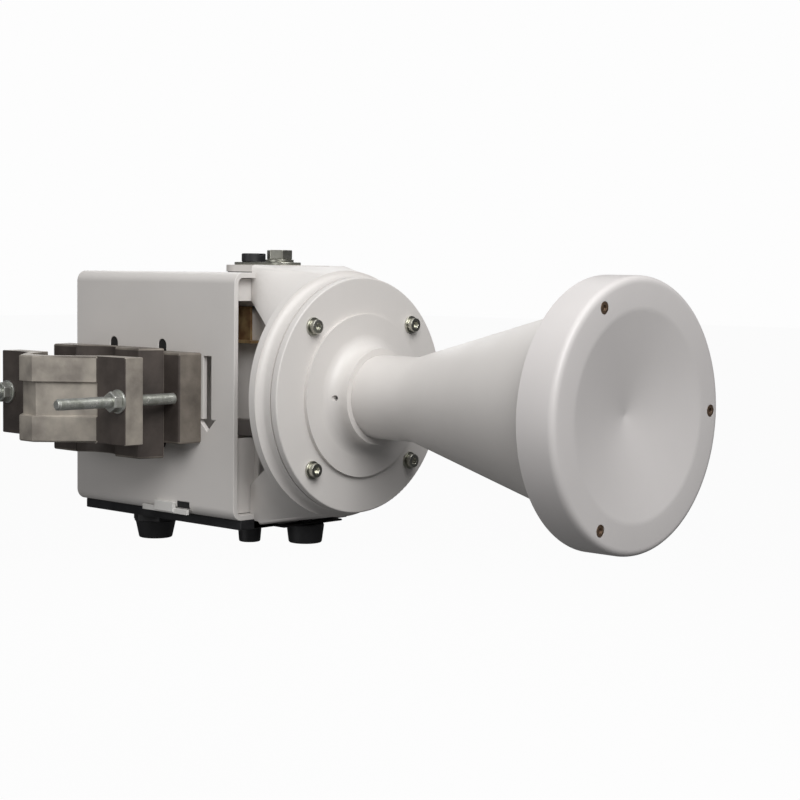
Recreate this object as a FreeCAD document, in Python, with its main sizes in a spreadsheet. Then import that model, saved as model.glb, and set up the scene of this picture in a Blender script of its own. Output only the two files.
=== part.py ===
import FreeCAD, Part
import math
import operator
import os

import Sketcher

# Horn antenna on a pole clamp, in millimetres.
# Origin: on the pole's axis, half way up the clamp. +Z is up, -Y is where the horn looks,
# and +X points from the pole to the horn.

V = FreeCAD.Vector
os.makedirs("parts", exist_ok=True)
doc = FreeCAD.newDocument("HornAntenna")

# Driving sizes: name, millimetres or degrees, what it is
DRIVING = [
    ("pole_radius", 30.15, "pole that the clamp is made for"),
    ("horn_offset", 128, "pole axis to horn axis, sideways"),
    ("horn_setback", 166.3, "pole axis to the flange's front face, along the horn"),
    ("horn_rise", 4, "horn axis above the middle of the clamp"),
    ("horn_length", 241, "flange face to the radome's front"),
    ("neck_radius", 29.6, "outside of the horn's neck"),
    ("horn_wall", 2.6, "wall of the spun horn"),
    ("cone_start", 56, "flange face to the start of the cone"),
    ("cone_radius", 75.6, "outside of the cone at its end"),
    ("mouth_ring", 8, "thickness of the mouth ring"),
    ("cap_radius", 88, "outside of the radome cap"),
    ("cap_gap", 0.4, "radome cap's skirt to the mouth ring"),
    ("cap_wall", 3, "wall of the radome cap"),
    ("cap_face", 4, "front of the radome cap where it sits on the mouth ring"),
    ("cap_length", 28, "length of the radome cap's skirt"),
    ("cap_round", 5, "outer edge of the radome cap"),
    ("dish_radius", 67.2, "rim of the hollow in the radome"),
    ("dish_depth", 12.3, "depth of the hollow in the radome"),
    ("seal_radius", 0.95, "half the thickness of the seal's cord"),
    ("mouth_screw_circle", 78.5, "radius of the circle of radome screws"),
    ("mouth_screw_radius", 1.8, "thread of a radome screw"),
    ("mouth_head_radius", 3.8, "head of a radome screw"),
    ("mouth_head_height", 2.2, "head of a radome screw"),
    ("flange_radius", 84, "outside of the mounting flange"),
    ("flange_thickness", 6, "rim of the mounting flange"),
    ("flange_edge", 1.2, "round on the flange's edges"),
    ("boss_radius", 58, "raised face of the flange"),
    ("boss_height", 3, "raised face of the flange"),
    ("socket_radius", 34, "outside of the socket for the neck"),
    ("socket_height", 18, "top of the socket above the flange face"),
    ("socket_flare", 10, "hollow round at the foot of the socket"),
    ("socket_fit", 0.1, "neck to socket, on the radius"),
    ("neck_seat", 4, "neck's end behind the flange face"),
    ("spigot_radius", 60, "spigot behind the flange"),
    ("spigot_length", 6, "spigot behind the flange"),
    ("spigot_fit", 0.4, "spigot to the head, on the radius"),
    ("flange_screw_circle", 70.4, "radius of the circle of flange screws"),
    ("flange_screw_radius", 3, "thread of a flange screw"),
    ("flange_head_radius", 5, "head of a flange screw"),
    ("flange_head_height", 4, "head of a flange screw"),
    ("flange_screw_reach", 16, "flange screw under its head"),
    ("flange_washer_radius", 6.4, "washers of the flange screws"),
    ("hole_fit", 0.3, "clearance hole to its screw, on the radius"),
    ("thread_past", 2, "threads past their nuts, and tapped holes past their screws"),
    ("grub_radius", 2, "grub screw that locks the neck"),
    ("grub_height", 8, "grub screw above the flange face"),
    ("gasket_thickness", 0.8, "flat gaskets"),
    ("gasket_inset", 3, "flange gasket inside the flange's edge and outside the spigot"),
    ("collar_length", 5.2, "straight part of the head's collar"),
    ("ledge_radius", 88.6, "flared edge of the head"),
    ("flare_length", 4.6, "hollow flare from the collar to the ledge"),
    ("web_bore", 42, "opening in the head's disc"),
    ("web_thickness", 6, "disc of the head behind the ledge"),
    ("arm_radius", 88, "round of an arm where it leaves the ledge"),
    ("arm_foot", 46, "height above the axis where an arm leaves the ledge"),
    ("arm_crest", 20, "half the width of an arm's crest at the ledge"),
    ("arm_wall", 6, "wall of the head's arms"),
    ("arm_reach", 64.5, "flange face to the arms' end plates"),
    ("arm_half_width", 48, "half the width of an arm's end plate"),
    ("arm_inner", 66, "horn axis to the inner edge of an arm's end plate"),
    ("arm_round", 3, "rounded corners of an arm's end plate"),
    ("end_plate", 5, "thickness of the arms' end plates"),
    ("lug_thickness", 5, "lugs above and below the bracket"),
    ("lug_radius", 25, "round end of a lug"),
    ("lug_back", 108, "flange face to the centre of a lug's round end"),
    ("liner_thickness", 0.6, "liners between the lugs and the bracket"),
    ("pivot_back", 86.7, "flange face to the head bolts"),
    ("pivot_radius", 5, "head bolts"),
    ("pivot_head_radius", 9.8, "across the corners of the head bolts' heads and nuts"),
    ("pivot_head_height", 7, "head of the upper head bolt"),
    ("pivot_nut_height", 8, "nuts of the head bolts"),
    ("pivot_washer_radius", 10.5, "washers of the head bolts"),
    ("pivot_washer", 2, "washers of the head bolts"),
    ("plate_thickness", 2.2, "zinc plate on the upper lug"),
    ("plate_half_width", 13, "half the width of the zinc plate, and its round ends"),
    ("plate_front", 82.7, "flange face to the centre of the zinc plate's front end"),
    ("plate_back", 117, "flange face to the centre of the zinc plate's back end"),
    ("lock_back", 115, "flange face to the black lock screws"),
    ("bracket_drop", 2, "middle of the bracket below the horn axis"),
    ("bracket_thickness", 4, "folded sheet of the bracket"),
    ("bracket_bend", 4, "inner radius of the bracket's bends"),
    ("bracket_half_height", 88.4, "half the height of the bracket"),
    ("bracket_side", 69.4, "horn axis to the outside of the bracket's web"),
    ("bracket_front", 59, "flange face to the bracket's front edge"),
    ("bracket_back", 240, "flange face to the bracket's back edge"),
    ("bracket_reach", 50, "horn axis to the free edge of the bracket's flanges"),
    ("notch_fit", 1.2, "bracket's flanges to the arms' end plates"),
    ("slot_half_width", 4.5, "half the width of a slot in the web"),
    ("slot_half_length", 40.2, "half the length of a slot in the web"),
    ("slot_offset", 28.3, "pole axis to each slot in the web"),
    ("slot_drop", 3.2, "middle of the slots below the horn axis"),
    ("arrow_back", 87.8, "flange face to the middle of the arrow cut-out"),
    ("arrow_top", 26.4, "top of the arrow above the horn axis"),
    ("arrow_length", 54.4, "whole length of the arrow"),
    ("arrow_head", 8.6, "length of the arrow's head"),
    ("arrow_shaft", 4.3, "half the width of the arrow's shaft"),
    ("arrow_wing", 9, "half the width of the arrow's head"),
    ("base_thickness", 7, "black plate under the bracket"),
    ("base_side", 62, "horn axis to the black plate's left edge"),
    ("base_tongue", 30, "half the width of the plate's front tongue"),
    ("base_front", 48, "flange face to the front of the plate's tongue"),
    ("base_fit", 0.4, "pocket in the black plate to the head"),
    ("clip_front", 107, "flange face to the white clip strip"),
    ("clip_length", 51, "length of the white clip strip"),
    ("clip_height", 4, "height of the white clip strip"),
    ("clip_tab", 21, "length of the clip's tab"),
    ("clip_tab_height", 8.4, "height of the clip's tab"),
    ("clip_thickness", 2, "thickness of the clip strip"),
    ("tie_rise", 4.6, "small slot above the bottom of the bracket"),
    ("tie_height", 4.6, "height of the small slot"),
    ("tie_length", 14, "length of the small slot"),
    ("bolt_radius", 4, "head bolts, jaw bolts and clamp studs"),
    ("bolt_head_radius", 7.5, "across the corners of their heads and nuts"),
    ("bolt_head_height", 5.3, "hexagon heads"),
    ("nut_height", 6.5, "hexagon nuts"),
    ("washer_radius", 8.4, "washers under them"),
    ("washer_thickness", 1.6, "washers under them"),
    ("lock_head_radius", 9, "head of a black lock screw"),
    ("lock_head_height", 6.5, "head of a black lock screw"),
    ("lock_radius", 3, "thread of a black lock screw"),
    ("vent_back", 57, "flange face to the drain plug"),
    ("vent_radius", 14, "head of the drain plug"),
    ("vent_height", 14, "head of the drain plug"),
    ("vent_thread", 5, "thread of the drain plug"),
    ("stub_side", 27, "small blanking plug beside the horn axis"),
    ("stub_back", 88, "flange face to the small blanking plug"),
    ("stub_radius", 9, "head of the small blanking plug"),
    ("stub_height", 14, "head of the small blanking plug"),
    ("gland_back", 184, "flange face to the cable gland"),
    ("gland_side", 37, "cable gland beside the horn axis"),
    ("gland_radius", 18, "body of the cable gland"),
    ("gland_height", 20, "cable gland below the black plate"),
    ("gland_thread", 12, "thread of the cable gland"),
    ("gland_bore", 7, "opening for the cable"),
    ("gland_nut_height", 5, "nut of the cable gland"),
    ("housing_back", 150, "flange face to the feed housing's open end"),
    ("housing_half_width", 42, "half the width of the feed housing"),
    ("housing_half_height", 49, "half the height of the feed housing"),
    ("housing_corner", 8, "corners of the feed housing"),
    ("housing_rise", 13, "middle of the feed housing above the horn axis"),
    ("housing_wall", 3.5, "wall of the feed housing"),
    ("cover_thickness", 5, "rear cover"),
    ("cover_screw_inset", 6, "cover screws from the housing's edges"),
    ("small_screw_radius", 1.5, "small screws inside"),
    ("small_head_radius", 2.8, "heads of the small screws"),
    ("small_head_height", 2.2, "heads of the small screws"),
    ("small_screw_reach", 8, "small screws under their heads"),
    ("cup_wall", 3, "wall of the waveguide cup"),
    ("cup_fit", 1, "waveguide cup to the hole in the housing, on the radius"),
    ("cup_length", 64, "length of the waveguide cup"),
    ("cup_flange", 40, "outside of the waveguide cup's flange"),
    ("cup_flange_thickness", 4, "waveguide cup's flange"),
    ("cup_screw_circle", 35, "radius of the circle of cup screws"),
    ("probe_first", 28, "first probe behind the cup's front"),
    ("probe_step", 18, "second probe behind the first"),
    ("probe_reach", 14, "probe inside the waveguide"),
    ("probe_radius", 0.9, "brass coupling probes"),
    ("line_radius", 1.8, "copper coaxial lines"),
    ("line_bend", 5, "bend of a coaxial line"),
    ("line_offset", 38, "horn axis to the coaxial lines"),
    ("jack_half_width", 12.7, "half the width of a coaxial jack's flange"),
    ("jack_flange", 3, "flange of a coaxial jack"),
    ("jack_radius", 7.9, "threaded barrel of a coaxial jack"),
    ("jack_length", 17, "barrel of a coaxial jack"),
    ("jack_bore", 4.3, "bore of a coaxial jack"),
    ("jack_contact", 1.5, "contact of a coaxial jack"),
    ("jack_groove", 1, "width of a groove in a jack's barrel, and of its edge"),
    ("jack_screw_offset", 9.1, "jack's axis to its screws, each way"),
    ("earth_back", 58, "flange face to the brass earth bracket"),
    ("earth_rise", 36, "brass earth bracket above the horn axis"),
    ("earth_height", 26, "height of the brass earth bracket"),
    ("earth_length", 35, "foot of the brass earth bracket"),
    ("earth_width", 12, "width of the brass earth bracket"),
    ("earth_thickness", 2, "sheet of the brass earth bracket"),
    ("block_back", 58, "flange face to the dark block"),
    ("block_rise", 25, "dark block's middle below the horn axis"),
    ("block_height", 12, "height of the dark block"),
    ("block_length", 25, "length of the dark block"),
    ("block_thickness", 6, "thickness of the dark block"),
    ("side_thickness", 2, "sheet of the right side cover"),
    ("side_lip", 14, "lips of the right side cover"),
    ("side_screw_inset", 14, "side cover's screws from its ends"),
    ("side_front", 68, "flange face to the right side cover"),
    ("jaw_crown", 42, "pole axis to the front jaw's crown"),
    ("crown_half_width", 7.7, "half the width of the crown"),
    ("jaw_half_height", 30.6, "half the height of the front jaw"),
    ("jaw_root", 41, "pole axis to the root of a clamp lug"),
    ("jaw_end", 72.3, "pole axis to the end of the jaws"),
    ("jaw_outer", 10.8, "pole axis to the outer face of the lugs"),
    ("jaw_inner", 5, "pole axis to the inner face of the lugs"),
    ("jaw_relief", 37.6, "pole axis to the relief inside the lugs"),
    ("jaw_seat", 26, "half the width of the front jaw's seat"),
    ("jaw_edge", 1.5, "rounded edges of the jaws"),
    ("channel_half_height", 12, "half the height of the channel round the jaw"),
    ("channel_depth", 3.3, "depth of the channel round the jaw"),
    ("bar_face", 37.8, "pole axis to the rear bar"),
    ("bar_half_height", 32.5, "half the height of the rear bar"),
    ("saddle_lip", 19, "pole axis to the saddle's lips"),
    ("saddle_half_width", 50, "half the width of the saddle at its lips"),
    ("saddle_flare", 6, "saddle wider at its back, each side"),
    ("saddle_top", 35.6, "top of the saddle above the clamp's middle"),
    ("saddle_bottom", 43.5, "bottom of the saddle below the clamp's middle"),
    ("stud_offset", 65.2, "pole axis to a clamp stud"),
    ("stud_end", 64, "pole axis to the studs' free ends"),
    ("stud_bite", 16, "studs inside the rear bar"),
    ("jaw_bolt_reach", 40, "jaw bolts under their heads"),
]


class Size:
    """A size that holds its number and the formula that gives it from the sheet."""

    def __init__(self, value, formula):
        self.value = value
        self.formula = formula

    def __add__(self, other):
        return joined(self, "+", other, operator.add)

    def __radd__(self, other):
        return joined(other, "+", self, operator.add)

    def __sub__(self, other):
        return joined(self, "-", other, operator.sub)

    def __rsub__(self, other):
        return joined(other, "-", self, operator.sub)

    def __mul__(self, other):
        return joined(self, "*", other, operator.mul)

    def __rmul__(self, other):
        return joined(other, "*", self, operator.mul)

    def __truediv__(self, other):
        return joined(self, "/", other, operator.truediv)

    def __neg__(self):
        return joined(-1, "*", self, operator.mul)


def as_size(item):
    if isinstance(item, Size):
        return item
    return Size(float(item), f"({float(item)!r})")


def joined(left, sign, right, operation):
    first, second = as_size(left), as_size(right)
    return Size(operation(first.value, second.value), f"({first.formula} {sign} {second.formula})")


def root(size):
    return Size(math.sqrt(size.value), f"sqrt({size.formula})")


class Sizes:
    """The sheet's cells, each as a Size of the same name."""


sheet = doc.addObject("Spreadsheet::Sheet", "Sizes")
size = Sizes()
for row, (name, number, meaning) in enumerate(DRIVING, start=1):
    sheet.set(f"A{row}", meaning)
    sheet.set(f"B{row}", str(number))
    sheet.setAlias(f"B{row}", name)
    setattr(size, name, Size(float(number), f"Sizes.{name}"))
doc.recompute()

finished = []

# Turns that lay a piece's own Z axis along another direction
FORWARD = FreeCAD.Rotation(V(1, 0, 0), 90)
BACKWARD = FreeCAD.Rotation(V(1, 0, 0), -90)
UPWARD = FreeCAD.Rotation()
DOWNWARD = FreeCAD.Rotation(V(1, 0, 0), 180)
RIGHT = FreeCAD.Rotation(V(0, 1, 0), 90)
LEFT = FreeCAD.Rotation(V(0, 1, 0), -90)


def bind(item, path, length):
    """Ties one property of an object to the sheet."""
    item.setExpression(path, as_size(length).formula)


def place(item, at, turn=UPWARD):
    point = [as_size(length) for length in at]
    item.Placement = FreeCAD.Placement(V(*[length.value for length in point]), turn)
    for axis, length in zip("xyz", point):
        bind(item, f"Placement.Base.{axis}", length)


def from_flange(side, back, up):
    """A place given from the centre of the flange's front face."""
    return (size.horn_offset + side, back - size.horn_setback, size.horn_rise + up)


def keep(item, label):
    """Marks an object as a finished piece, which is written to a file of that name."""
    item.Label = label
    finished.append(item)
    return item


def cylinder(radius, height, at, turn=UPWARD, name="Cylinder"):
    item = doc.addObject("Part::Cylinder", name)
    bind(item, "Radius", radius)
    bind(item, "Height", height)
    place(item, at, turn)
    return item


def cone(radius_low, radius_high, height, at, turn=UPWARD, name="Cone"):
    item = doc.addObject("Part::Cone", name)
    bind(item, "Radius1", radius_low)
    bind(item, "Radius2", radius_high)
    bind(item, "Height", height)
    place(item, at, turn)
    return item


def hexagon(corner_radius, height, at, turn=UPWARD, name="Hexagon"):
    item = doc.addObject("Part::Prism", name)
    item.Polygon = 6
    bind(item, "Circumradius", corner_radius)
    bind(item, "Height", height)
    place(item, at, turn)
    return item


def box(low, high, name="Block"):
    """A block between two opposite corners."""
    item = doc.addObject("Part::Box", name)
    for edge, start, end in zip(("Length", "Width", "Height"), low, high):
        bind(item, edge, end - start)
    place(item, low)
    return item


def ring(outer, inner, height, at, turn=UPWARD, name="Ring"):
    """A flat ring; its hole runs past both faces."""
    past = size.gasket_thickness
    blank = cylinder(outer, height, at, turn, name)
    hole = cylinder(inner, height + past * 2, at, turn, name + "Hole")
    back = turn.multVec(V(0, 0, -1))
    place(hole, [start + past * step for start, step in zip(at, back)], turn)
    return cut(blank, [hole], name + "Cut")


def group(items, name="Group"):
    item = doc.addObject("Part::Compound", name)
    item.Links = items
    return item


def fuse(items, name="Fused"):
    item = doc.addObject("Part::MultiFuse", name)
    item.Shapes = items
    item.Refine = True
    return item


def cut(base, tools, name="Cut"):
    item = doc.addObject("Part::Cut", name)
    item.Base = base
    item.Tool = tools[0] if len(tools) == 1 else fuse(tools, name + "Tools")
    item.Refine = True
    return item


def new_body(name):
    return doc.addObject("PartDesign::Body", name)


def plane_of(body, role):
    return next(item for item in body.Origin.OriginFeatures if item.Role == role)


def outline(body, role, corners, offset=0, name="Outline"):
    """A closed outline on one of the body's own planes.

    A corner is (across, up), or (across, up, bend) where an arc of that radius leads to the
    next corner: a positive bend turns left, a negative one right.
    """
    sketch = body.newObject("Sketcher::SketchObject", name)
    sketch.AttachmentSupport = [(plane_of(body, role), "")]
    sketch.MapMode = "FlatFace"
    sketch.AttachmentOffset = FreeCAD.Placement(V(0, 0, as_size(offset).value), UPWARD)
    bind(sketch, "AttachmentOffset.Base.z", offset)
    points = [V(as_size(corner[0]).value, as_size(corner[1]).value, 0) for corner in corners]
    ends = []
    for index, corner in enumerate(corners):
        start, stop = points[index], points[(index + 1) % len(points)]
        if len(corner) == 2:
            edge = sketch.addGeometry(Part.LineSegment(start, stop), False)
            ends.append((edge, 1, 2))
            continue
        bend = corner[2]
        left = bend.value > 0
        if not left:
            start, stop = stop, start
        radius = abs(bend.value)
        chord = stop - start
        rise = math.sqrt(max(radius ** 2 - (chord.Length / 2) ** 2, 0))
        middle = (start + stop) / 2 + V(-chord.y, chord.x, 0).normalize() * rise
        angles = [math.atan2(point.y - middle.y, point.x - middle.x) for point in (start, stop)]
        circle = Part.Circle(middle, V(0, 0, 1), radius)
        edge = sketch.addGeometry(Part.ArcOfCircle(circle, angles[0], angles[1]), False)
        ends.append((edge, 1, 2) if left else (edge, 2, 1))
        constraint = sketch.addConstraint(Sketcher.Constraint("Radius", edge, radius))
        bind(sketch, f"Constraints[{constraint}]", bend if left else -bend)
    for index, (edge, _, last) in enumerate(ends):
        after, first, _ = ends[(index + 1) % len(ends)]
        sketch.addConstraint(Sketcher.Constraint("Coincident", edge, last, after, first))
    for (edge, first, _), corner in zip(ends, corners):
        for kind, axis, length in (("DistanceX", -2, corner[0]), ("DistanceY", -1, corner[1])):
            if isinstance(length, Size):
                rule = Sketcher.Constraint(kind, -1, 1, edge, first, length.value)
                constraint = sketch.addConstraint(rule)
                bind(sketch, f"Constraints[{constraint}]", length)
            else:
                sketch.addConstraint(Sketcher.Constraint("PointOnObject", edge, first, axis))
    return sketch


def turned(name, corners):
    """A body of revolution about its own Z axis, from an outline of (radius, height)."""
    body = new_body(name)
    sketch = outline(body, "XZ_Plane", corners)
    feature = body.newObject("PartDesign::Revolution", "Turned")
    feature.Profile = sketch
    feature.ReferenceAxis = (sketch, ["V_Axis"])
    feature.Angle = 360
    return body


def padded(name, role, corners, length, offset=0):
    """A body of one thickness, from an outline on one of its own planes."""
    body = new_body(name)
    sketch = outline(body, role, corners, offset)
    feature = body.newObject("PartDesign::Pad", "Pad")
    feature.Profile = sketch
    bind(feature, "Length", length)
    return body


def lofted(name, role, sections):
    """A body that runs straight from one outline to the next: sections are (offset, corners)."""
    body = new_body(name)
    sketches = [outline(body, role, corners, offset) for offset, corners in sections]
    feature = body.newObject("PartDesign::AdditiveLoft", "Loft")
    feature.Profile = sketches[0]
    feature.Sections = sketches[1:]
    feature.Ruled = True
    return body


def soften(body, radius, wanted, name="Round"):
    """Rounds those edges of a body's last feature that the test picks."""
    doc.recompute()
    base = body.Tip
    names = [f"Edge{index}" for index, edge in enumerate(base.Shape.Edges, start=1) if wanted(edge)]
    feature = body.newObject("PartDesign::Fillet", name)
    feature.Base = (base, names)
    bind(feature, "Radius", radius)
    return body


def spokes(count, first=0):
    """Unit directions (sideways, up), evenly spaced, starting from an angle in degrees."""
    turns = [math.radians(first + index * 360 / count) for index in range(count)]
    return [(math.cos(turn), math.sin(turn)) for turn in turns]


# Sizes that follow from the ones above
neck_bore = size.neck_radius - size.horn_wall
mouth_radius = size.cap_radius - size.cap_wall - size.cap_gap
mouth_face = size.horn_length - size.cap_face
cone_end = mouth_face - size.mouth_ring
seal_circle = size.cone_radius - size.horn_wall + size.seal_radius * 2.2
spigot_end = size.flange_thickness + size.spigot_length
head_front = size.flange_thickness + size.gasket_thickness
flare_front = head_front + size.collar_length
ledge_back = flare_front + size.flare_length
web_back = ledge_back + size.web_thickness
sheet_side = size.bracket_side - size.bracket_thickness
lug_face = size.bracket_half_height + size.liner_thickness
head_half_height = lug_face + size.lug_thickness
base_bottom = size.bracket_half_height + size.base_thickness
web_across = size.horn_offset - size.bracket_side
drill_length = size.flange_screw_reach * 4
sink_radius = size.pivot_radius * 1.8
sink_depth = size.pivot_radius * 0.8
screw_inset = size.cover_screw_inset + size.small_screw_radius
housing_screw_places = [
    (side * (size.housing_half_width - screw_inset),
     size.housing_rise + up * (size.housing_half_height - screw_inset))
    for side in (1, -1) for up in (1, -1)
]
axis = from_flange(0, 0, 0)


def through(radius, at, turn, length=drill_length):
    """A drill for a round hole, longer than any piece that it goes through."""
    return cylinder(radius, length, at, turn, "Drill")


def around(circle, count, first, height):
    """Places on a circle round the horn's axis, in front of the flange face by a height."""
    return [from_flange(side * circle, -height, up * circle) for side, up in spokes(count, first)]


# Mounting flange
flange_body = turned("FlangeBody", [
    (neck_bore, -spigot_end),
    (size.spigot_radius, -spigot_end),
    (size.spigot_radius, -size.flange_thickness),
    (size.flange_radius - size.flange_edge, -size.flange_thickness, size.flange_edge),
    (size.flange_radius, size.flange_edge - size.flange_thickness),
    (size.flange_radius, -size.flange_edge, size.flange_edge),
    (size.flange_radius - size.flange_edge, 0),
    (size.boss_radius, 0),
    (size.boss_radius, size.boss_height),
    (size.socket_radius + size.socket_flare, size.boss_height, -size.socket_flare),
    (size.socket_radius, size.boss_height + size.socket_flare),
    (size.socket_radius, size.socket_height),
    (size.neck_radius + size.socket_fit, size.socket_height),
    (size.neck_radius + size.socket_fit, -size.neck_seat),
    (neck_bore, -size.neck_seat),
])
place(flange_body, axis, FORWARD)
flange_holes = [
    through(size.flange_screw_radius + size.hole_fit, at, FORWARD)
    for at in around(size.flange_screw_circle, 4, 45, -size.flange_screw_reach * 2)
]
grub_start = from_flange(-size.neck_radius, -size.grub_height, 0)
cup_screw_holes = [
    through(size.small_screw_radius, at, FORWARD, size.small_screw_reach)
    for at in around(size.cup_screw_circle, 4, 0, -spigot_end)
]
grub_hole = through(size.grub_radius, grub_start, LEFT, size.socket_flare * 2)
keep(cut(flange_body, flange_holes + cup_screw_holes + [grub_hole]), "mounting_flange")

grub_length = size.socket_radius - size.neck_radius - size.socket_fit
grub = cylinder(size.grub_radius, grub_length,
                from_flange(-size.neck_radius - size.socket_fit, -size.grub_height, 0), LEFT)
grub_key = hexagon(size.grub_radius / 2, size.grub_radius,
                   from_flange(-size.socket_radius, -size.grub_height, 0), RIGHT)
keep(cut(grub, [grub_key]), "boss_grub_screw")

# Gasket between the flange and the head
gasket = ring(size.flange_radius - size.gasket_inset, size.spigot_radius + size.gasket_inset,
              size.gasket_thickness, from_flange(0, size.flange_thickness, 0), BACKWARD)
gasket_holes = [
    through(size.flange_screw_radius + size.hole_fit, at, FORWARD)
    for at in around(size.flange_screw_circle, 4, 45, -size.flange_screw_reach * 2)
]
keep(cut(gasket, gasket_holes), "flange_gasket")

# Horn: neck, cone and mouth ring
horn_body = turned("HornBody", [
    (neck_bore, -size.neck_seat),
    (size.neck_radius, -size.neck_seat),
    (size.neck_radius, size.cone_start),
    (size.cone_radius, cone_end),
    (mouth_radius, cone_end),
    (mouth_radius, mouth_face),
    (seal_circle + size.seal_radius * 1.1, mouth_face),
    (seal_circle + size.seal_radius * 1.1, mouth_face - size.seal_radius * 2),
    (seal_circle - size.seal_radius * 1.1, mouth_face - size.seal_radius * 2),
    (seal_circle - size.seal_radius * 1.1, mouth_face),
    (size.cone_radius - size.horn_wall, mouth_face),
    (size.cone_radius - size.horn_wall, cone_end),
    (neck_bore, size.cone_start),
])
place(horn_body, axis, FORWARD)
mouth_holes = [
    through(size.mouth_screw_radius, at, BACKWARD)
    for at in around(size.mouth_screw_circle, 3, 0, size.horn_length + size.cap_wall)
]
keep(cut(horn_body, mouth_holes), "horn_tube")

# Radome cap and its seal
cap_body = turned("CapBody", [
    (0, size.horn_length - size.dish_depth - size.cap_wall),
    (size.dish_radius, mouth_face),
    (mouth_radius + size.cap_gap, mouth_face),
    (mouth_radius + size.cap_gap, size.horn_length - size.cap_length),
    (size.cap_radius, size.horn_length - size.cap_length),
    (size.cap_radius, size.horn_length - size.cap_round, size.cap_round),
    (size.cap_radius - size.cap_round, size.horn_length),
    (size.dish_radius, size.horn_length),
    (0, size.horn_length - size.dish_depth),
])
place(cap_body, axis, FORWARD)
cap_holes = [
    through(size.mouth_screw_radius + size.hole_fit, at, BACKWARD)
    for at in around(size.mouth_screw_circle, 3, 0, size.horn_length + size.cap_wall)
]
cap_sinks = [
    through(size.mouth_head_radius + size.hole_fit, at, FORWARD)
    for at in around(size.mouth_screw_circle, 3, 0, size.horn_length - size.mouth_head_height)
]
keep(cut(cap_body, cap_holes + cap_sinks), "radome_cap")

seal = doc.addObject("Part::Torus", "Seal")
bind(seal, "Radius1", seal_circle)
bind(seal, "Radius2", size.seal_radius)
place(seal, from_flange(0, size.seal_radius - mouth_face, 0), FORWARD)
keep(seal, "radome_seal")


def socket_screw(head_radius, head_height, radius, reach, at, turn):
    """A screw whose head sits on a place and whose thread runs on along -Z of its turn."""
    away = turn.multVec(V(0, 0, -1))
    head = cylinder(head_radius, head_height, at, turn)
    low = [start + reach * step for start, step in zip(at, away)]
    shank = cylinder(radius, reach, low, turn)
    key_depth = head_height * 0.55
    key_at = [start - (head_height - key_depth) * step for start, step in zip(at, away)]
    key = hexagon(head_radius * 0.5, key_depth, key_at, turn)
    return cut(fuse([head, shank]), [key])


keep(group([
    socket_screw(size.mouth_head_radius, size.mouth_head_height, size.mouth_screw_radius,
                 size.mouth_ring, at, FORWARD)
    for at in around(size.mouth_screw_circle, 3, 0, size.horn_length - size.mouth_head_height)
]), "radome_screws")

# Flange screws and washers
keep(group([
    socket_screw(size.flange_head_radius, size.flange_head_height, size.flange_screw_radius,
                 size.flange_screw_reach, at, FORWARD)
    for at in around(size.flange_screw_circle, 4, 45, size.washer_thickness)
]), "flange_screws")
keep(group([
    ring(size.flange_washer_radius, size.flange_screw_radius + size.hole_fit,
         size.washer_thickness, at, FORWARD)
    for at in around(size.flange_screw_circle, 4, 45, 0)
]), "flange_washers")

# Head casting: collar and flared ledge, then two hollow arms with lugs
head_disc = turned("HeadDisc", [
    (size.web_bore, -web_back),
    (size.ledge_radius, -web_back),
    (size.ledge_radius, -ledge_back, -size.flare_length),
    (size.flange_radius, -flare_front),
    (size.flange_radius, -head_front),
    (size.spigot_radius + size.spigot_fit, -head_front),
    (size.spigot_radius + size.spigot_fit, -spigot_end - size.spigot_fit),
    (size.web_bore, -spigot_end - size.spigot_fit),
])
place(head_disc, axis, FORWARD)


def on_circle(radius, across):
    return root(radius * radius - across * across)


def arm(side):
    """One arm, above (side 1) or below (side -1) the horn, and its hollow."""
    top = head_half_height - side * size.bracket_drop
    foot = on_circle(size.arm_radius, size.arm_foot)
    crest = size.arm_crest
    shoulder = crest + size.arm_round
    wide = size.arm_half_width
    bend = size.arm_radius
    outer_foot = [
        (-foot, size.arm_foot), (foot, size.arm_foot, bend),
        (shoulder, on_circle(bend, shoulder), bend), (crest, on_circle(bend, crest), bend),
        (-crest, on_circle(bend, crest), bend), (-shoulder, on_circle(bend, shoulder), bend),
    ]
    outer_end = [
        (-wide, size.arm_inner), (wide, size.arm_inner),
        (wide, top - size.arm_round, size.arm_round), (wide - size.arm_round, top),
        (size.arm_round - wide, top, size.arm_round), (-wide, top - size.arm_round),
    ]
    inside = size.arm_radius - size.arm_wall
    ridge = crest + size.arm_wall * 2
    narrow = wide - size.arm_wall
    open_below = size.arm_wall * 2
    inner_foot = [
        (size.arm_wall - foot, size.arm_foot - open_below),
        (foot - size.arm_wall, size.arm_foot - open_below),
        (ridge, on_circle(inside, ridge)), (-ridge, on_circle(inside, ridge)),
    ]
    inner_end = [
        (-narrow, size.arm_inner - open_below), (narrow, size.arm_inner - open_below),
        (narrow, top - size.arm_wall), (-narrow, top - size.arm_wall),
    ]

    def flipped(corners):
        return [(side * c[0], side * c[1], *c[2:]) for c in corners]

    outer = lofted("Arm", "XY_Plane", [(-ledge_back, flipped(outer_foot)),
                                       (-size.arm_reach, flipped(outer_end))])
    inner = lofted("ArmHollow", "XY_Plane", [(-ledge_back, flipped(inner_foot)),
                                             (-size.arm_reach, flipped(inner_end))])
    for body in (outer, inner):
        place(body, axis, FORWARD)
    slab = box(from_flange(-size.ledge_radius, web_back, -size.ledge_radius * 2),
               from_flange(size.ledge_radius, size.arm_reach - size.end_plate,
                           size.ledge_radius * 2))
    hollow = doc.addObject("Part::MultiCommon", "Hollow")
    hollow.Shapes = [inner, slab]
    return outer, hollow


def lug_outline(grow):
    radius = size.lug_radius + grow
    start = size.arm_reach - size.end_plate
    return [
        (-radius, start), (radius, start), (radius, size.lug_back, radius),
        (0, size.lug_back + radius, radius), (-radius, size.lug_back),
    ]


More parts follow.
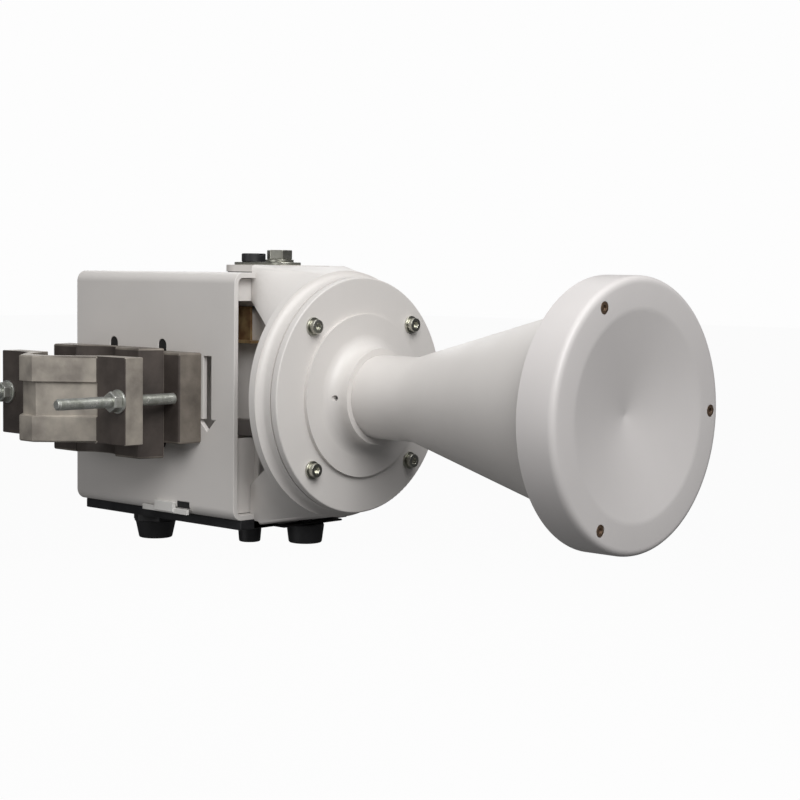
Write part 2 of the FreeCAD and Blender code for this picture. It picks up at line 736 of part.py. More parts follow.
def lug(side, grow=0):
    """A lug that runs back from an arm, over or under the bracket."""
    low = lug_face if side > 0 else -head_half_height
    body = padded("Lug", "XY_Plane", lug_outline(grow), size.lug_thickness, low)
    place(body, from_flange(0, 0, -size.bracket_drop))
    return body


upper_arm, upper_hollow = arm(1)
lower_arm, lower_hollow = arm(-1)


def upright_hole(radius, back, side=0, length=drill_length, middle=0):
    """A drill along Z through the lugs and the bracket: above the horn for 1, below for -1."""
    at = from_flange(side, back, middle - length / 2)
    return cylinder(radius, length, at, UPWARD, "Drill")


top_level = size.bracket_half_height - size.bracket_drop
bottom_level = -size.bracket_half_height - size.bracket_drop
head_tapped = [
    through(size.flange_screw_radius, at, FORWARD, size.flange_screw_reach * 1.25)
    for at in around(size.flange_screw_circle, 4, 45, -size.flange_screw_reach)
]
lug_holes = [
    upright_hole(radius, back, middle=level)
    for level in (top_level, bottom_level)
    for radius, back in ((size.pivot_radius + size.hole_fit, size.pivot_back),
                         (size.lock_radius + size.hole_fit, size.lock_back))
]
sink = cone(sink_radius, size.pivot_radius, sink_depth,
            from_flange(0, size.pivot_back, -size.bracket_drop - head_half_height), UPWARD)
base_skin = size.base_thickness - size.lug_thickness - size.liner_thickness
vent_hole = upright_hole(size.vent_thread, size.vent_back, middle=bottom_level,
                         length=size.vent_height * 2)
web_tapped = [
    through(size.small_screw_radius, from_flange(side, web_back + size.thread_past, up), FORWARD,
            size.small_screw_reach)
    for side, up in housing_screw_places
]
solid_head = fuse([head_disc, upper_arm, lower_arm, lug(1), lug(-1)])
hollows = [upper_hollow, lower_hollow, sink, vent_hole]
keep(cut(solid_head, hollows + web_tapped + head_tapped + lug_holes), "head_casting")

# Liners between the lugs and the bracket
liner_front = size.arm_reach + size.notch_fit
liner_round = size.lug_radius - size.notch_fit
liners = []
for side in (1, -1):
    low = size.bracket_half_height if side > 0 else -lug_face
    liner = padded("Liner", "XY_Plane", [
        (-liner_round, liner_front), (liner_round, liner_front),
        (liner_round, size.lug_back, liner_round),
        (0, size.lug_back + liner_round, liner_round), (-liner_round, size.lug_back),
    ], size.liner_thickness, low)
    place(liner, from_flange(0, 0, -size.bracket_drop))
    level = top_level if side > 0 else bottom_level
    liners.append(cut(liner, [
        upright_hole(size.pivot_radius + size.hole_fit, size.pivot_back, middle=level),
        upright_hole(size.lock_radius + size.hole_fit, size.lock_back, middle=level),
    ]))
keep(group(liners), "lug_liners")

# Bracket folded from sheet
fold = size.bracket_thickness + size.bracket_bend
half = size.bracket_half_height
bracket_body = padded("BracketBody", "XY_Plane", [
    (size.bracket_reach, half), (fold - size.bracket_side, half, fold),
    (-size.bracket_side, half - fold), (-size.bracket_side, fold - half, fold),
    (fold - size.bracket_side, -half), (size.bracket_reach, -half),
    (size.bracket_reach, size.bracket_thickness - half),
    (fold - size.bracket_side, size.bracket_thickness - half, -size.bracket_bend),
    (-sheet_side, fold - half), (-sheet_side, half - fold, -size.bracket_bend),
    (fold - size.bracket_side, half - size.bracket_thickness),
    (size.bracket_reach, half - size.bracket_thickness),
], size.bracket_back - size.bracket_front)
place(bracket_body, from_flange(0, size.bracket_back, -size.bracket_drop), FORWARD)


cutter_length = size.bracket_thickness * 5
cutter_side = -size.bracket_side - size.bracket_thickness * 2


def web_slot(across, level, half_width, half_length):
    """A tool for an upright slot with round ends in the bracket's web."""
    straight = half_length - half_width
    body = padded("Slot", "XY_Plane", [
        (-straight, -half_width), (straight, -half_width, half_width),
        (straight + half_width, 0, half_width), (straight, half_width),
        (-straight, half_width, half_width), (-half_length, 0, half_width),
    ], cutter_length)
    place(body, (web_across - size.bracket_thickness * 2, across, level), RIGHT)
    return body


slot_level = size.horn_rise - size.slot_drop
arrow = padded("Arrow", "XY_Plane", [
    (0, -size.arrow_shaft), (size.arrow_length - size.arrow_head, -size.arrow_shaft),
    (size.arrow_length - size.arrow_head, -size.arrow_wing), (size.arrow_length, 0),
    (size.arrow_length - size.arrow_head, size.arrow_wing),
    (size.arrow_length - size.arrow_head, size.arrow_shaft), (0, size.arrow_shaft),
], cutter_length)
place(arrow, from_flange(cutter_side, size.arrow_back, size.arrow_top), RIGHT)
tie_low = bottom_level + size.tie_rise
tie_slot = box(from_flange(cutter_side, size.clip_front, tie_low),
               from_flange(-sheet_side, size.clip_front + size.tie_length,
                           tie_low + size.tie_height))
gland_hole = upright_hole(size.gland_thread, size.gland_back, -size.gland_side,
                          middle=bottom_level)
notch_side = size.arm_half_width + size.notch_fit
notch = box(
    from_flange(-notch_side, size.bracket_front - size.notch_fit, -half * 2),
    from_flange(notch_side + size.bracket_reach, size.arm_reach + size.notch_fit, half * 2))
bracket_holes = [
    web_slot(side * size.slot_offset, slot_level, size.slot_half_width, size.slot_half_length)
    for side in (1, -1)
]
bracket_drills = [
    upright_hole(radius, back, middle=level)
    for level in (top_level, bottom_level)
    for radius, back in ((size.pivot_radius + size.hole_fit, size.pivot_back),
                         (size.lock_radius + size.hole_fit, size.lock_back))
]
lip_middle = size.bracket_reach - size.side_lip / 2
side_screw_backs = (size.side_front + size.side_screw_inset,
                    size.bracket_back - size.side_screw_inset)


def side_cover_drills():
    return [upright_hole(size.small_screw_radius, back, lip_middle, half * 2.4)
            for back in side_screw_backs]


keep(cut(bracket_body,
         bracket_holes + bracket_drills + side_cover_drills()
         + [arrow, tie_slot, gland_hole, notch]),
     "yoke_bracket")

# White cable clip on the web's outer face
clip_strip = box(
    from_flange(-size.bracket_side - size.clip_thickness, size.clip_front, bottom_level),
    from_flange(-size.bracket_side, size.clip_front + size.clip_length,
                bottom_level + size.clip_height))
tab_front = size.clip_front + (size.clip_length - size.clip_tab) / 2
clip_tab = box(
    from_flange(-size.bracket_side - size.clip_thickness * 1.5, tab_front,
                bottom_level + size.clip_height / 4),
    from_flange(-size.bracket_side, tab_front + size.clip_tab,
                bottom_level + size.clip_tab_height))
keep(fuse([clip_strip, clip_tab]), "cable_clip")

# Black plate under the bracket, pocketed for the lower arm and its lug
base_reach = size.bracket_reach - size.bracket_thickness
base_back = size.bracket_back - size.bracket_thickness / 2
base_body = padded("BaseBody", "XY_Plane", [
    (-size.base_tongue, size.base_front), (size.base_tongue, size.base_front),
    (size.base_tongue, size.bracket_front), (base_reach, size.bracket_front),
    (base_reach, base_back), (-size.base_side, base_back),
    (-size.base_side, size.bracket_front), (-size.base_tongue, size.bracket_front),
], size.base_thickness, -base_bottom)
place(base_body, from_flange(0, 0, -size.bracket_drop))
head_bottom = -head_half_height - size.bracket_drop
pocket_arm = box(
    from_flange(-size.arm_half_width - size.base_fit, size.base_front - size.base_fit,
                head_bottom),
    from_flange(size.arm_half_width + size.base_fit, size.arm_reach + size.base_fit,
                head_bottom + size.base_thickness * 2))
pocket_lug = lug(-1, size.base_fit)
pocket_liner = padded("PocketLiner", "XY_Plane", lug_outline(size.base_fit),
                      size.liner_thickness * 2, -lug_face - size.liner_thickness / 4)
place(pocket_liner, from_flange(0, 0, -size.bracket_drop))
base_drills = [
    upright_hole(size.lock_radius + size.hole_fit, size.lock_back, middle=bottom_level),
    upright_hole(size.vent_thread + size.hole_fit, size.vent_back, middle=bottom_level),
    upright_hole(size.gland_thread, size.gland_back, -size.gland_side, middle=bottom_level),
    upright_hole(size.stub_radius / 3, size.stub_back, -size.stub_side,
                 size.base_thickness * 2, head_bottom - base_skin),
]
keep(cut(base_body, [pocket_arm, pocket_lug, pocket_liner] + base_drills), "base_plate")


# Head bolt above, countersunk head screw below, and their nuts and washers inside the bracket
bolt_top = head_half_height - size.bracket_drop
inner_top = top_level - size.bracket_thickness
inner_bottom = bottom_level + size.bracket_thickness
plate_top = bolt_top + size.plate_thickness


def washer(at, turn, radius=size.washer_radius, hole=size.bolt_radius,
           thickness=size.washer_thickness):
    return ring(radius, hole + size.hole_fit, thickness, at, turn)


def nut(at, turn, radius=size.bolt_radius, corner=size.bolt_head_radius, height=size.nut_height):
    body = hexagon(corner, height, at, turn)
    back = turn.multVec(V(0, 0, -1))
    hole = cylinder(radius, height * 2, [s + height / 2 * b for s, b in zip(at, back)], turn)
    return cut(body, [hole])


def pivot_washer(level, turn):
    return washer(from_flange(0, size.pivot_back, level), turn, size.pivot_washer_radius,
                  size.pivot_radius, size.pivot_washer)


lock_plate_body = padded("LockPlate", "XY_Plane", [
    (-size.plate_half_width, size.plate_front, size.plate_half_width),
    (0, size.plate_front - size.plate_half_width, size.plate_half_width),
    (size.plate_half_width, size.plate_front),
    (size.plate_half_width, size.plate_back, size.plate_half_width),
    (0, size.plate_back + size.plate_half_width, size.plate_half_width),
    (-size.plate_half_width, size.plate_back),
], size.plate_thickness, bolt_top)
place(lock_plate_body, axis)
keep(cut(lock_plate_body, [
    upright_hole(size.pivot_radius + size.hole_fit, size.pivot_back, middle=bolt_top),
    upright_hole(size.lock_radius + size.hole_fit, size.lock_back, middle=bolt_top),
]), "lock_plate")
head_seat = plate_top + size.pivot_washer
nut_stack = size.pivot_washer + size.pivot_nut_height + size.thread_past
grip = head_seat - inner_top + nut_stack
keep(fuse([
    hexagon(size.pivot_head_radius, size.pivot_head_height,
            from_flange(0, size.pivot_back, head_seat)),
    cylinder(size.pivot_radius, grip + size.pivot_head_height / 2,
             from_flange(0, size.pivot_back, head_seat - grip)),
]), "head_bolt")
lower_grip = inner_bottom - head_bottom + nut_stack
lower_screw = fuse([
    cylinder(size.pivot_radius, lower_grip, from_flange(0, size.pivot_back, head_bottom)),
    cone(sink_radius, size.pivot_radius, sink_depth, from_flange(0, size.pivot_back, head_bottom)),
])
lower_key = hexagon(size.pivot_radius * 0.7, sink_depth,
                    from_flange(0, size.pivot_back, head_bottom))
keep(cut(lower_screw, [lower_key]), "lower_head_screw")
keep(group([
    pivot_washer(plate_top, UPWARD),
    pivot_washer(inner_top, DOWNWARD),
    pivot_washer(inner_bottom, UPWARD),
]), "head_washers")
keep(group([
    nut(from_flange(0, size.pivot_back, inner_top - size.pivot_washer), DOWNWARD,
        size.pivot_radius, size.pivot_head_radius, size.pivot_nut_height),
    nut(from_flange(0, size.pivot_back, inner_bottom + size.pivot_washer), UPWARD,
        size.pivot_radius, size.pivot_head_radius, size.pivot_nut_height),
]), "head_nuts")

# Black lock screws behind the head bolts, with their nuts
lock_nut_height = size.lock_radius * 1.6
lock_bottom = -base_bottom - size.bracket_drop


def lock_screw(level, side, length):
    turn = UPWARD if side > 0 else DOWNWARD
    head = cylinder(size.lock_head_radius, size.lock_head_height,
                    from_flange(0, size.lock_back, level), turn)
    shank = cylinder(size.lock_radius, length + size.lock_head_height / 2,
                     from_flange(0, size.lock_back, level - side * length), turn)
    slot_size = size.lock_radius / 2
    slot_level = level + side * size.lock_head_height
    slot = box(from_flange(-slot_size, size.lock_back - size.lock_head_radius,
                           slot_level - slot_size),
               from_flange(slot_size, size.lock_back + size.lock_head_radius,
                           slot_level + slot_size))
    return cut(fuse([head, shank]), [slot])


upper_lock = plate_top - inner_top + lock_nut_height + size.thread_past
lower_lock = inner_bottom - lock_bottom + lock_nut_height + size.thread_past
keep(group([lock_screw(plate_top, 1, upper_lock), lock_screw(lock_bottom, -1, lower_lock)]),
     "lock_screws")
keep(group([
    nut(from_flange(0, size.lock_back, inner_top), DOWNWARD, size.lock_radius,
        size.lock_radius * 1.9, lock_nut_height),
    nut(from_flange(0, size.lock_back, inner_bottom), UPWARD, size.lock_radius,
        size.lock_radius * 1.9, lock_nut_height),
]), "lock_nuts")

# Drain plug in the lower arm
plug_taper = 0.87
vent_at = from_flange(0, size.vent_back, lock_bottom)
vent_thread = size.base_thickness + size.arm_wall
keep(fuse([
    cone(size.vent_radius, size.vent_radius * plug_taper, size.vent_height, vent_at, DOWNWARD),
    cylinder(size.vent_thread, vent_thread, vent_at),
]), "drain_plug")

# Small blanking plug snapped into the black plate
stub_at = from_flange(-size.stub_side, size.stub_back, lock_bottom)
keep(fuse([
    cone(size.stub_radius, size.stub_radius * plug_taper, size.stub_height, stub_at, DOWNWARD),
    cylinder(size.stub_radius / 3, base_skin, stub_at),
]), "blanking_plug")

# Cable gland through the plate and the bracket, with its lock nut
gland_at = from_flange(-size.gland_side, size.gland_back, lock_bottom)
gland_grip = inner_bottom - lock_bottom
gland_solid = fuse([
    hexagon(size.gland_radius, size.gland_height * 0.35, gland_at, DOWNWARD),
    cone(size.gland_radius * 0.94, size.gland_radius * 0.7, size.gland_height,
         gland_at, DOWNWARD),
    cylinder(size.gland_thread, gland_grip + size.gland_nut_height + size.thread_past, gland_at),
])
gland_opening = upright_hole(size.gland_bore, size.gland_back, -size.gland_side,
                             size.gland_height * 3, lock_bottom)
keep(cut(gland_solid, [gland_opening]), "cable_gland")
keep(nut(from_flange(-size.gland_side, size.gland_back, inner_bottom), UPWARD,
         size.gland_thread, size.gland_radius, size.gland_nut_height), "gland_nut")

# Feed housing behind the head's web: a cast box, closed by a cover
house_length = size.housing_back - web_back
cover_front = size.housing_back + size.gasket_thickness
wide, tall, corner = size.housing_half_width, size.housing_half_height, size.housing_corner


def rounded(half_width, half_height, radius):
    return [
        (radius - half_width, -half_height), (half_width - radius, -half_height, radius),
        (half_width, radius - half_height), (half_width, half_height - radius, radius),
        (half_width - radius, half_height), (radius - half_width, half_height, radius),
        (-half_width, half_height - radius), (-half_width, radius - half_height, radius),
    ]


def shell(name, outline_corners, start, end):
    body = padded(name, "XY_Plane", outline_corners, end - start)
    place(body, from_flange(0, end, size.housing_rise), FORWARD)
    return body


wall = size.housing_wall
housing_solid = shell("Housing", rounded(wide, tall, corner), web_back, size.housing_back)
housing_hollow = shell("HousingHollow", rounded(wide - wall, tall - wall, corner - wall),
                       web_back + wall, size.housing_back + size.cover_thickness)
cup_hole = through(neck_bore + size.cup_wall + size.cup_fit, from_flange(0, web_back - wall, 0),
                   BACKWARD, wall * 3)
inset = size.cover_screw_inset
# The middle pillars sit a little below half height, clear of the jacks
middle_pillar = -0.25
pillar_places = [
    (side * (wide - inset), size.housing_rise + up * (tall - inset))
    for side in (1, -1) for up in (1, middle_pillar, -1)
]
pillars = [
    cylinder(size.small_head_radius * 1.35, house_length / 4,
             from_flange(side, size.housing_back, up), FORWARD)
    for side, up in pillar_places
]
housing_screw_holes = [
    through(size.small_screw_radius, from_flange(side, web_back + size.small_screw_reach, up),
            FORWARD, size.small_screw_reach * 2)
    for side, up in housing_screw_places
]
pillar_holes = [
    through(size.small_screw_radius, from_flange(side, cover_front, up), FORWARD,
            size.small_screw_reach + size.cover_thickness)
    for side, up in pillar_places
]
housing_shell = cut(housing_solid, [housing_hollow, cup_hole] + housing_screw_holes)
keep(cut(fuse([housing_shell] + pillars), pillar_holes), "feed_housing")
keep(group([
    socket_screw(size.small_head_radius, size.small_head_height, size.small_screw_radius,
                 size.small_screw_reach, from_flange(side, web_back + wall, up), BACKWARD)
    for side, up in housing_screw_places
]), "housing_screws")

jack_places = [(side * size.line_offset * math.sqrt(0.5), size.line_offset * math.sqrt(0.5))
               for side in (-1, 1)]


def cover_drills(radius, places):
    return [
        through(radius, from_flange(side, size.housing_back - size.cover_thickness, up), BACKWARD,
                size.cover_thickness * 4)
        for side, up in places
    ]


cover_screw_hole = size.small_screw_radius + size.hole_fit / 2
gasket_frame = shell("CoverGasket", rounded(wide, tall, corner),
                     size.housing_back, cover_front)
gasket_window = shell("CoverWindow", rounded(wide - inset * 1.8, tall - inset * 1.8, corner / 2),
                      size.housing_back - size.gasket_thickness,
                      cover_front + size.gasket_thickness)
keep(cut(gasket_frame, [gasket_window] + cover_drills(cover_screw_hole, pillar_places)),
     "cover_gasket")
cover_back = cover_front + size.cover_thickness
cover_plate = shell("Cover", rounded(wide, tall, corner), cover_front, cover_back)
drills = cover_drills(cover_screw_hole, pillar_places)
jack_holes = cover_drills(size.jack_radius, jack_places)
jack_screw_holes = [
    through(size.small_screw_radius,
            from_flange(side + a * size.jack_screw_offset, size.housing_back,
                        up + b * size.jack_screw_offset), BACKWARD, size.jack_length)
    for side, up in jack_places for a in (-1, 1) for b in (-1, 1)
]
keep(cut(cover_plate, drills + jack_holes + jack_screw_holes), "rear_cover")
keep(group([
    socket_screw(size.small_head_radius, size.small_head_height, size.small_screw_radius,
                 size.small_screw_reach + size.cover_thickness,
                 from_flange(side, cover_back, up), BACKWARD)
    for side, up in pillar_places
]), "cover_screws")

# Waveguide cup behind the flange
cup_outer = neck_bore + size.cup_wall
cup_body = turned("CupBody", [
    (neck_bore, 0), (size.cup_flange, 0), (size.cup_flange, size.cup_flange_thickness),
    (cup_outer, size.cup_flange_thickness), (cup_outer, size.cup_length + size.cup_wall),
    (0, size.cup_length + size.cup_wall), (0, size.cup_length), (neck_bore, size.cup_length),
])
place(cup_body, from_flange(0, spigot_end, 0), BACKWARD)
probe_front = spigot_end + size.probe_first
probes = [(-1, probe_front), (1, probe_front + size.probe_step)]
slant = [FreeCAD.Rotation(V(0, 1, 0), side * 45) for side, back in probes]
cup_drills = [
    cylinder(size.line_radius, size.cup_flange, from_flange(0, back, 0), turn)
    for (side, back), turn in zip(probes, slant)
]
cup_screw_drills = [
    through(size.small_screw_radius + size.hole_fit, at, BACKWARD)
    for at in around(size.cup_screw_circle, 4, 0, size.cup_flange_thickness - spigot_end)
]
keep(cut(cup_body, cup_drills + cup_screw_drills), "waveguide_cup")
keep(group([
    socket_screw(size.small_head_radius, size.small_head_height, size.small_screw_radius,
                 size.small_screw_reach + size.cup_flange_thickness, at, BACKWARD)
    for at in around(size.cup_screw_circle, 4, 0, -spigot_end - size.cup_flange_thickness)
]), "cup_screws")

# Probes, coaxial lines and jacks, one set on each slant
for (side, back), turn, (jack_side, jack_up), hand in zip(
        probes, slant, jack_places, ("left", "right")):
    probe_start = neck_bore - size.probe_reach
    out = turn.multVec(V(0, 0, 1))
    pin = cylinder(size.probe_radius, size.probe_reach + size.cup_wall,
                   from_flange(out.x * probe_start, back, out.z * probe_start), turn)
    keep(pin, f"probe_{hand}")
    path_body = new_body("Line")
    start = cup_outer - size.cup_wall
    corner_at = size.line_offset
    sketch = path_body.newObject("Sketcher::SketchObject", "Path")
    sketch.AttachmentSupport = [(plane_of(path_body, "XZ_Plane"), "")]
    sketch.MapMode = "FlatFace"
    run = size.housing_back - back
    up_line = Part.LineSegment(V(0, start.value, 0), V(0, (corner_at - size.line_bend).value, 0))
    middle = V(size.line_bend.value, (corner_at - size.line_bend).value, 0)
    arc = Part.ArcOfCircle(Part.Circle(middle, V(0, 0, 1), size.line_bend.value),
                           math.pi / 2, math.pi)
    along = Part.LineSegment(V(size.line_bend.value, corner_at.value, 0),
                             V(run.value, corner_at.value, 0))
    for shape in (up_line, arc, along):
        sketch.addGeometry(shape, False)
    sketch.addConstraint(Sketcher.Constraint("Coincident", 0, 2, 1, 2))
    sketch.addConstraint(Sketcher.Constraint("Coincident", 1, 1, 2, 1))
    for geometry, point, across, upward in (
            (0, 1, 0, start), (0, 2, 0, corner_at - size.line_bend),
            (2, 1, size.line_bend, corner_at), (2, 2, run, corner_at)):
        if isinstance(across, Size):
            number = sketch.addConstraint(
                Sketcher.Constraint("DistanceX", -1, 1, geometry, point, across.value))
            bind(sketch, f"Constraints[{number}]", across)
        else:
            sketch.addConstraint(Sketcher.Constraint("PointOnObject", geometry, point, -2))
        number = sketch.addConstraint(
            Sketcher.Constraint("DistanceY", -1, 1, geometry, point, upward.value))
        bind(sketch, f"Constraints[{number}]", upward)
    number = sketch.addConstraint(Sketcher.Constraint("Radius", 1, size.line_bend.value))
    bind(sketch, f"Constraints[{number}]", size.line_bend)
    section = path_body.newObject("Sketcher::SketchObject", "Section")
    section.AttachmentSupport = [(plane_of(path_body, "XY_Plane"), "")]
    section.MapMode = "FlatFace"
    section.AttachmentOffset = FreeCAD.Placement(V(0, 0, start.value), UPWARD)
    bind(section, "AttachmentOffset.Base.z", start)
    section.addGeometry(Part.Circle(V(0, 0, 0), V(0, 0, 1), size.line_radius.value), False)
    section.addConstraint(Sketcher.Constraint("Coincident", 0, 3, -1, 1))
    number = section.addConstraint(Sketcher.Constraint("Radius", 0, size.line_radius.value))
    bind(section, f"Constraints[{number}]", size.line_radius)
    sweep = path_body.newObject("PartDesign::AdditivePipe", "Sweep")
    sweep.Profile = section
    sweep.Spine = (sketch, [])
    quarter = FreeCAD.Rotation(V(0, 0, 1), 90)
    place(path_body, from_flange(0, back, 0), turn.multiply(quarter))
    line_core = cylinder(size.probe_radius, size.line_offset,
                         from_flange(0, back, 0), turn)
    keep(cut(path_body, [line_core]), f"coaxial_line_{hand}")

    jack_at = from_flange(jack_side, cover_back, jack_up)
    side_half = size.jack_half_width
    jack_plate = box(
        from_flange(jack_side - side_half, cover_back, jack_up - side_half),
        from_flange(jack_side + side_half, cover_back + size.jack_flange, jack_up + side_half))
    barrel = turned("Barrel", [
        (size.jack_bore, 0), (size.jack_radius, 0),
        (size.jack_radius, size.jack_length - size.jack_groove),
        (size.jack_radius - size.jack_groove, size.jack_length), (size.jack_bore, size.jack_length),
    ])
    place(barrel, jack_at, BACKWARD)
    first_groove = cover_back + size.jack_flange + size.jack_groove * 2
    grooves = [
        ring(size.jack_radius * 1.2, size.jack_radius - size.jack_groove * 0.7, size.jack_groove,
             from_flange(jack_side, first_groove + step * size.jack_groove * 2, jack_up), BACKWARD)
        for step in range(5)
    ]
    bore = cylinder(size.jack_bore, size.jack_flange * 2,
                    from_flange(jack_side, cover_back - size.jack_flange / 2, jack_up), BACKWARD)
    jack_drills = [
        through(size.small_screw_radius + size.hole_fit / 3,
                from_flange(jack_side + a * size.jack_screw_offset,
                            cover_back - size.jack_flange / 2,
                            jack_up + b * size.jack_screw_offset),
                BACKWARD, size.jack_flange * 2)
        for a in (-1, 1) for b in (-1, 1)
    ]
    keep(cut(fuse([jack_plate, barrel]), [bore] + grooves + jack_drills), f"coaxial_jack_{hand}")
    insulator_at = from_flange(jack_side, size.housing_back, jack_up)
    keep(ring(size.jack_bore, size.jack_contact,
              cover_back - size.housing_back + size.jack_length * 0.45, insulator_at, BACKWARD),
         f"jack_insulator_{hand}")
    keep(cylinder(size.jack_contact, cover_back - size.housing_back + size.jack_length * 0.8,
                  insulator_at, BACKWARD), f"jack_contact_{hand}")

jack_screw_places = [
    from_flange(side + a * size.jack_screw_offset, cover_back + size.jack_flange,
                up + b * size.jack_screw_offset)
    for side, up in jack_places for a in (-1, 1) for b in (-1, 1)
]
keep(group([
    socket_screw(size.small_head_radius, size.small_head_height, size.small_screw_radius,
                 size.jack_flange + size.cover_thickness, at, BACKWARD)
    for at in jack_screw_places
]), "jack_screws")

# Brass earth bracket and dark terminal block on the housing's left side
left_face = -size.housing_half_width
earth_top = size.earth_rise + size.earth_height
earth_sheet = size.earth_thickness
keep(fuse([
    box(from_flange(left_face - earth_sheet, size.earth_back + size.earth_width,
                    size.earth_rise),
        from_flange(left_face, size.earth_back + size.earth_length, earth_top)),
    box(from_flange(left_face - size.earth_width, size.earth_back, size.earth_rise),
        from_flange(left_face, size.earth_back + size.earth_length,
                    size.earth_rise + earth_sheet)),
]), "earth_bracket")
block_low = -size.block_rise - size.block_height / 2
keep(box(from_flange(left_face - size.block_thickness, size.block_back, block_low),
         from_flange(left_face, size.block_back + size.block_length,
                     block_low + size.block_height)), "terminal_block")

# Right side cover: a sheet with lips inside the bracket's flanges, held by four screws
side_inner = size.bracket_half_height - size.bracket_thickness
side_sheet = size.side_thickness
cover_edge = size.bracket_reach
side_body = padded("SideBody", "XY_Plane", [
    (cover_edge, -side_inner), (cover_edge, side_inner), (cover_edge - size.side_lip, side_inner),
    (cover_edge - size.side_lip, side_inner - side_sheet),
    (cover_edge - side_sheet, side_inner - side_sheet),
    (cover_edge - side_sheet, side_sheet - side_inner),
    (cover_edge - size.side_lip, side_sheet - side_inner),
    (cover_edge - size.side_lip, -side_inner),
], size.bracket_back - size.side_front)
place(side_body, from_flange(0, size.bracket_back, -size.bracket_drop), FORWARD)
keep(cut(side_body, side_cover_drills()), "side_cover")
side_screws = []
for back in side_screw_backs:
    for side, turn in ((1, DOWNWARD), (-1, UPWARD)):
        at = from_flange(lip_middle, back, side * (side_inner - side_sheet) - size.bracket_drop)
        side_screws.append(socket_screw(size.small_head_radius, size.small_head_height,
                                        size.small_screw_radius,
                                        side_sheet + size.bracket_thickness, at, turn))
keep(group(side_screws), "side_cover_screws")

# Pole clamp: rear bar, saddle and front jaw
bar_body = padded("BarBody", "XY_Plane", [
    (size.bar_face, -size.jaw_end), (web_across, -size.jaw_end),
    (web_across, size.jaw_end), (size.bar_face, size.jaw_end),
], size.bar_half_height * 2, -size.bar_half_height)
soften(bar_body, size.jaw_edge, lambda edge: edge.BoundBox.XMin < web_across.value - 1)
bar_holes = [
    cylinder(size.bolt_radius, size.stud_bite,
             (size.bar_face, side * size.stud_offset, 0), RIGHT)
    for side in (1, -1)
]
bolt_holes = [
    cylinder(size.bolt_radius + size.hole_fit, drill_length, (0, side * size.slot_offset, 0), RIGHT)
    for side in (1, -1)
]
keep(cut(bar_body, bar_holes + bolt_holes), "rear_bar")



def saddle_edge(edge):
    """Edges of the saddle's flanks and lips, apart from those at the bar and at the pole."""
    bounds = edge.BoundBox
    reach = max(abs(bounds.YMin), abs(bounds.YMax))
    return bounds.XMin < size.bar_face.value - 1 and reach > size.saddle_half_width.value - 0.01


saddle_back = size.saddle_half_width + size.saddle_flare
seat_half = on_circle(size.pole_radius, size.saddle_lip)
saddle_body = padded("SaddleBody", "XY_Plane", [
    (size.bar_face, -saddle_back), (size.bar_face, saddle_back),
    (size.saddle_lip, size.saddle_half_width), (size.saddle_lip, seat_half, -size.pole_radius),
    (size.pole_radius, 0, -size.pole_radius), (size.saddle_lip, -seat_half),
    (size.saddle_lip, -size.saddle_half_width),
], size.saddle_top + size.saddle_bottom, -size.saddle_bottom)
bolt_seat = web_across + size.bracket_thickness
bolt_head_seat = bolt_seat + size.washer_thickness
soften(saddle_body, size.jaw_edge, saddle_edge)
saddle_holes = [
    cylinder(size.bolt_radius, size.jaw_bolt_reach,
             (bolt_head_seat - size.jaw_bolt_reach - size.thread_past,
              side * size.slot_offset, 0), RIGHT)
    for side in (1, -1)
]
keep(cut(saddle_body, saddle_holes), "saddle")

seat_end = on_circle(size.pole_radius, size.jaw_seat)
jaw_body = padded("JawBody", "XY_Plane", [
    (size.jaw_inner, size.jaw_relief), (size.jaw_inner, size.jaw_end),
    (-size.jaw_outer, size.jaw_end), (-size.jaw_outer, size.jaw_root),
    (-size.jaw_crown, size.crown_half_width), (-size.jaw_crown, -size.crown_half_width),
    (-size.jaw_outer, -size.jaw_root), (-size.jaw_outer, -size.jaw_end),
    (size.jaw_inner, -size.jaw_end), (size.jaw_inner, -size.jaw_relief),
    (-seat_end, -size.jaw_seat, -size.pole_radius), (-size.pole_radius, 0, -size.pole_radius),
    (-seat_end, size.jaw_seat),
], size.jaw_half_height * 2, -size.jaw_half_height)
soften(jaw_body, size.jaw_edge, lambda edge: edge.BoundBox.XMin < 1 - size.jaw_crown.value)
channel = padded("Channel", "XY_Plane", [
    (size.channel_depth - size.jaw_outer, size.jaw_root),
    (-size.jaw_crown * 1.1, size.jaw_root), (-size.jaw_crown * 1.1, -size.jaw_root),
    (size.channel_depth - size.jaw_outer, -size.jaw_root),
    (size.channel_depth - size.jaw_crown, -size.crown_half_width),
    (size.channel_depth - size.jaw_crown, size.crown_half_width),
], size.channel_half_height * 2, -size.channel_half_height)
jaw_holes = [
    cylinder(size.bolt_radius + size.hole_fit, drill_length,
             (-drill_length / 2, side * size.stud_offset, 0), RIGHT)
    for side in (1, -1)
]
keep(cut(jaw_body, [channel] + jaw_holes), "front_jaw")

# Studs, nuts and washers that draw the jaws together
stud_places = [(size.stud_end * -1, side * size.stud_offset, 0) for side in (1, -1)]
stud_length = size.stud_end + size.bar_face + size.stud_bite
keep(group([cylinder(size.bolt_radius, stud_length, at, RIGHT) for at in stud_places]),
     "clamp_studs")
keep(group([
    washer((-size.jaw_outer, side * size.stud_offset, 0), LEFT) for side in (1, -1)
]), "clamp_washers")
keep(group([
    nut((-size.jaw_outer - size.washer_thickness, side * size.stud_offset, 0), LEFT)
    for side in (1, -1)
]), "clamp_nuts")

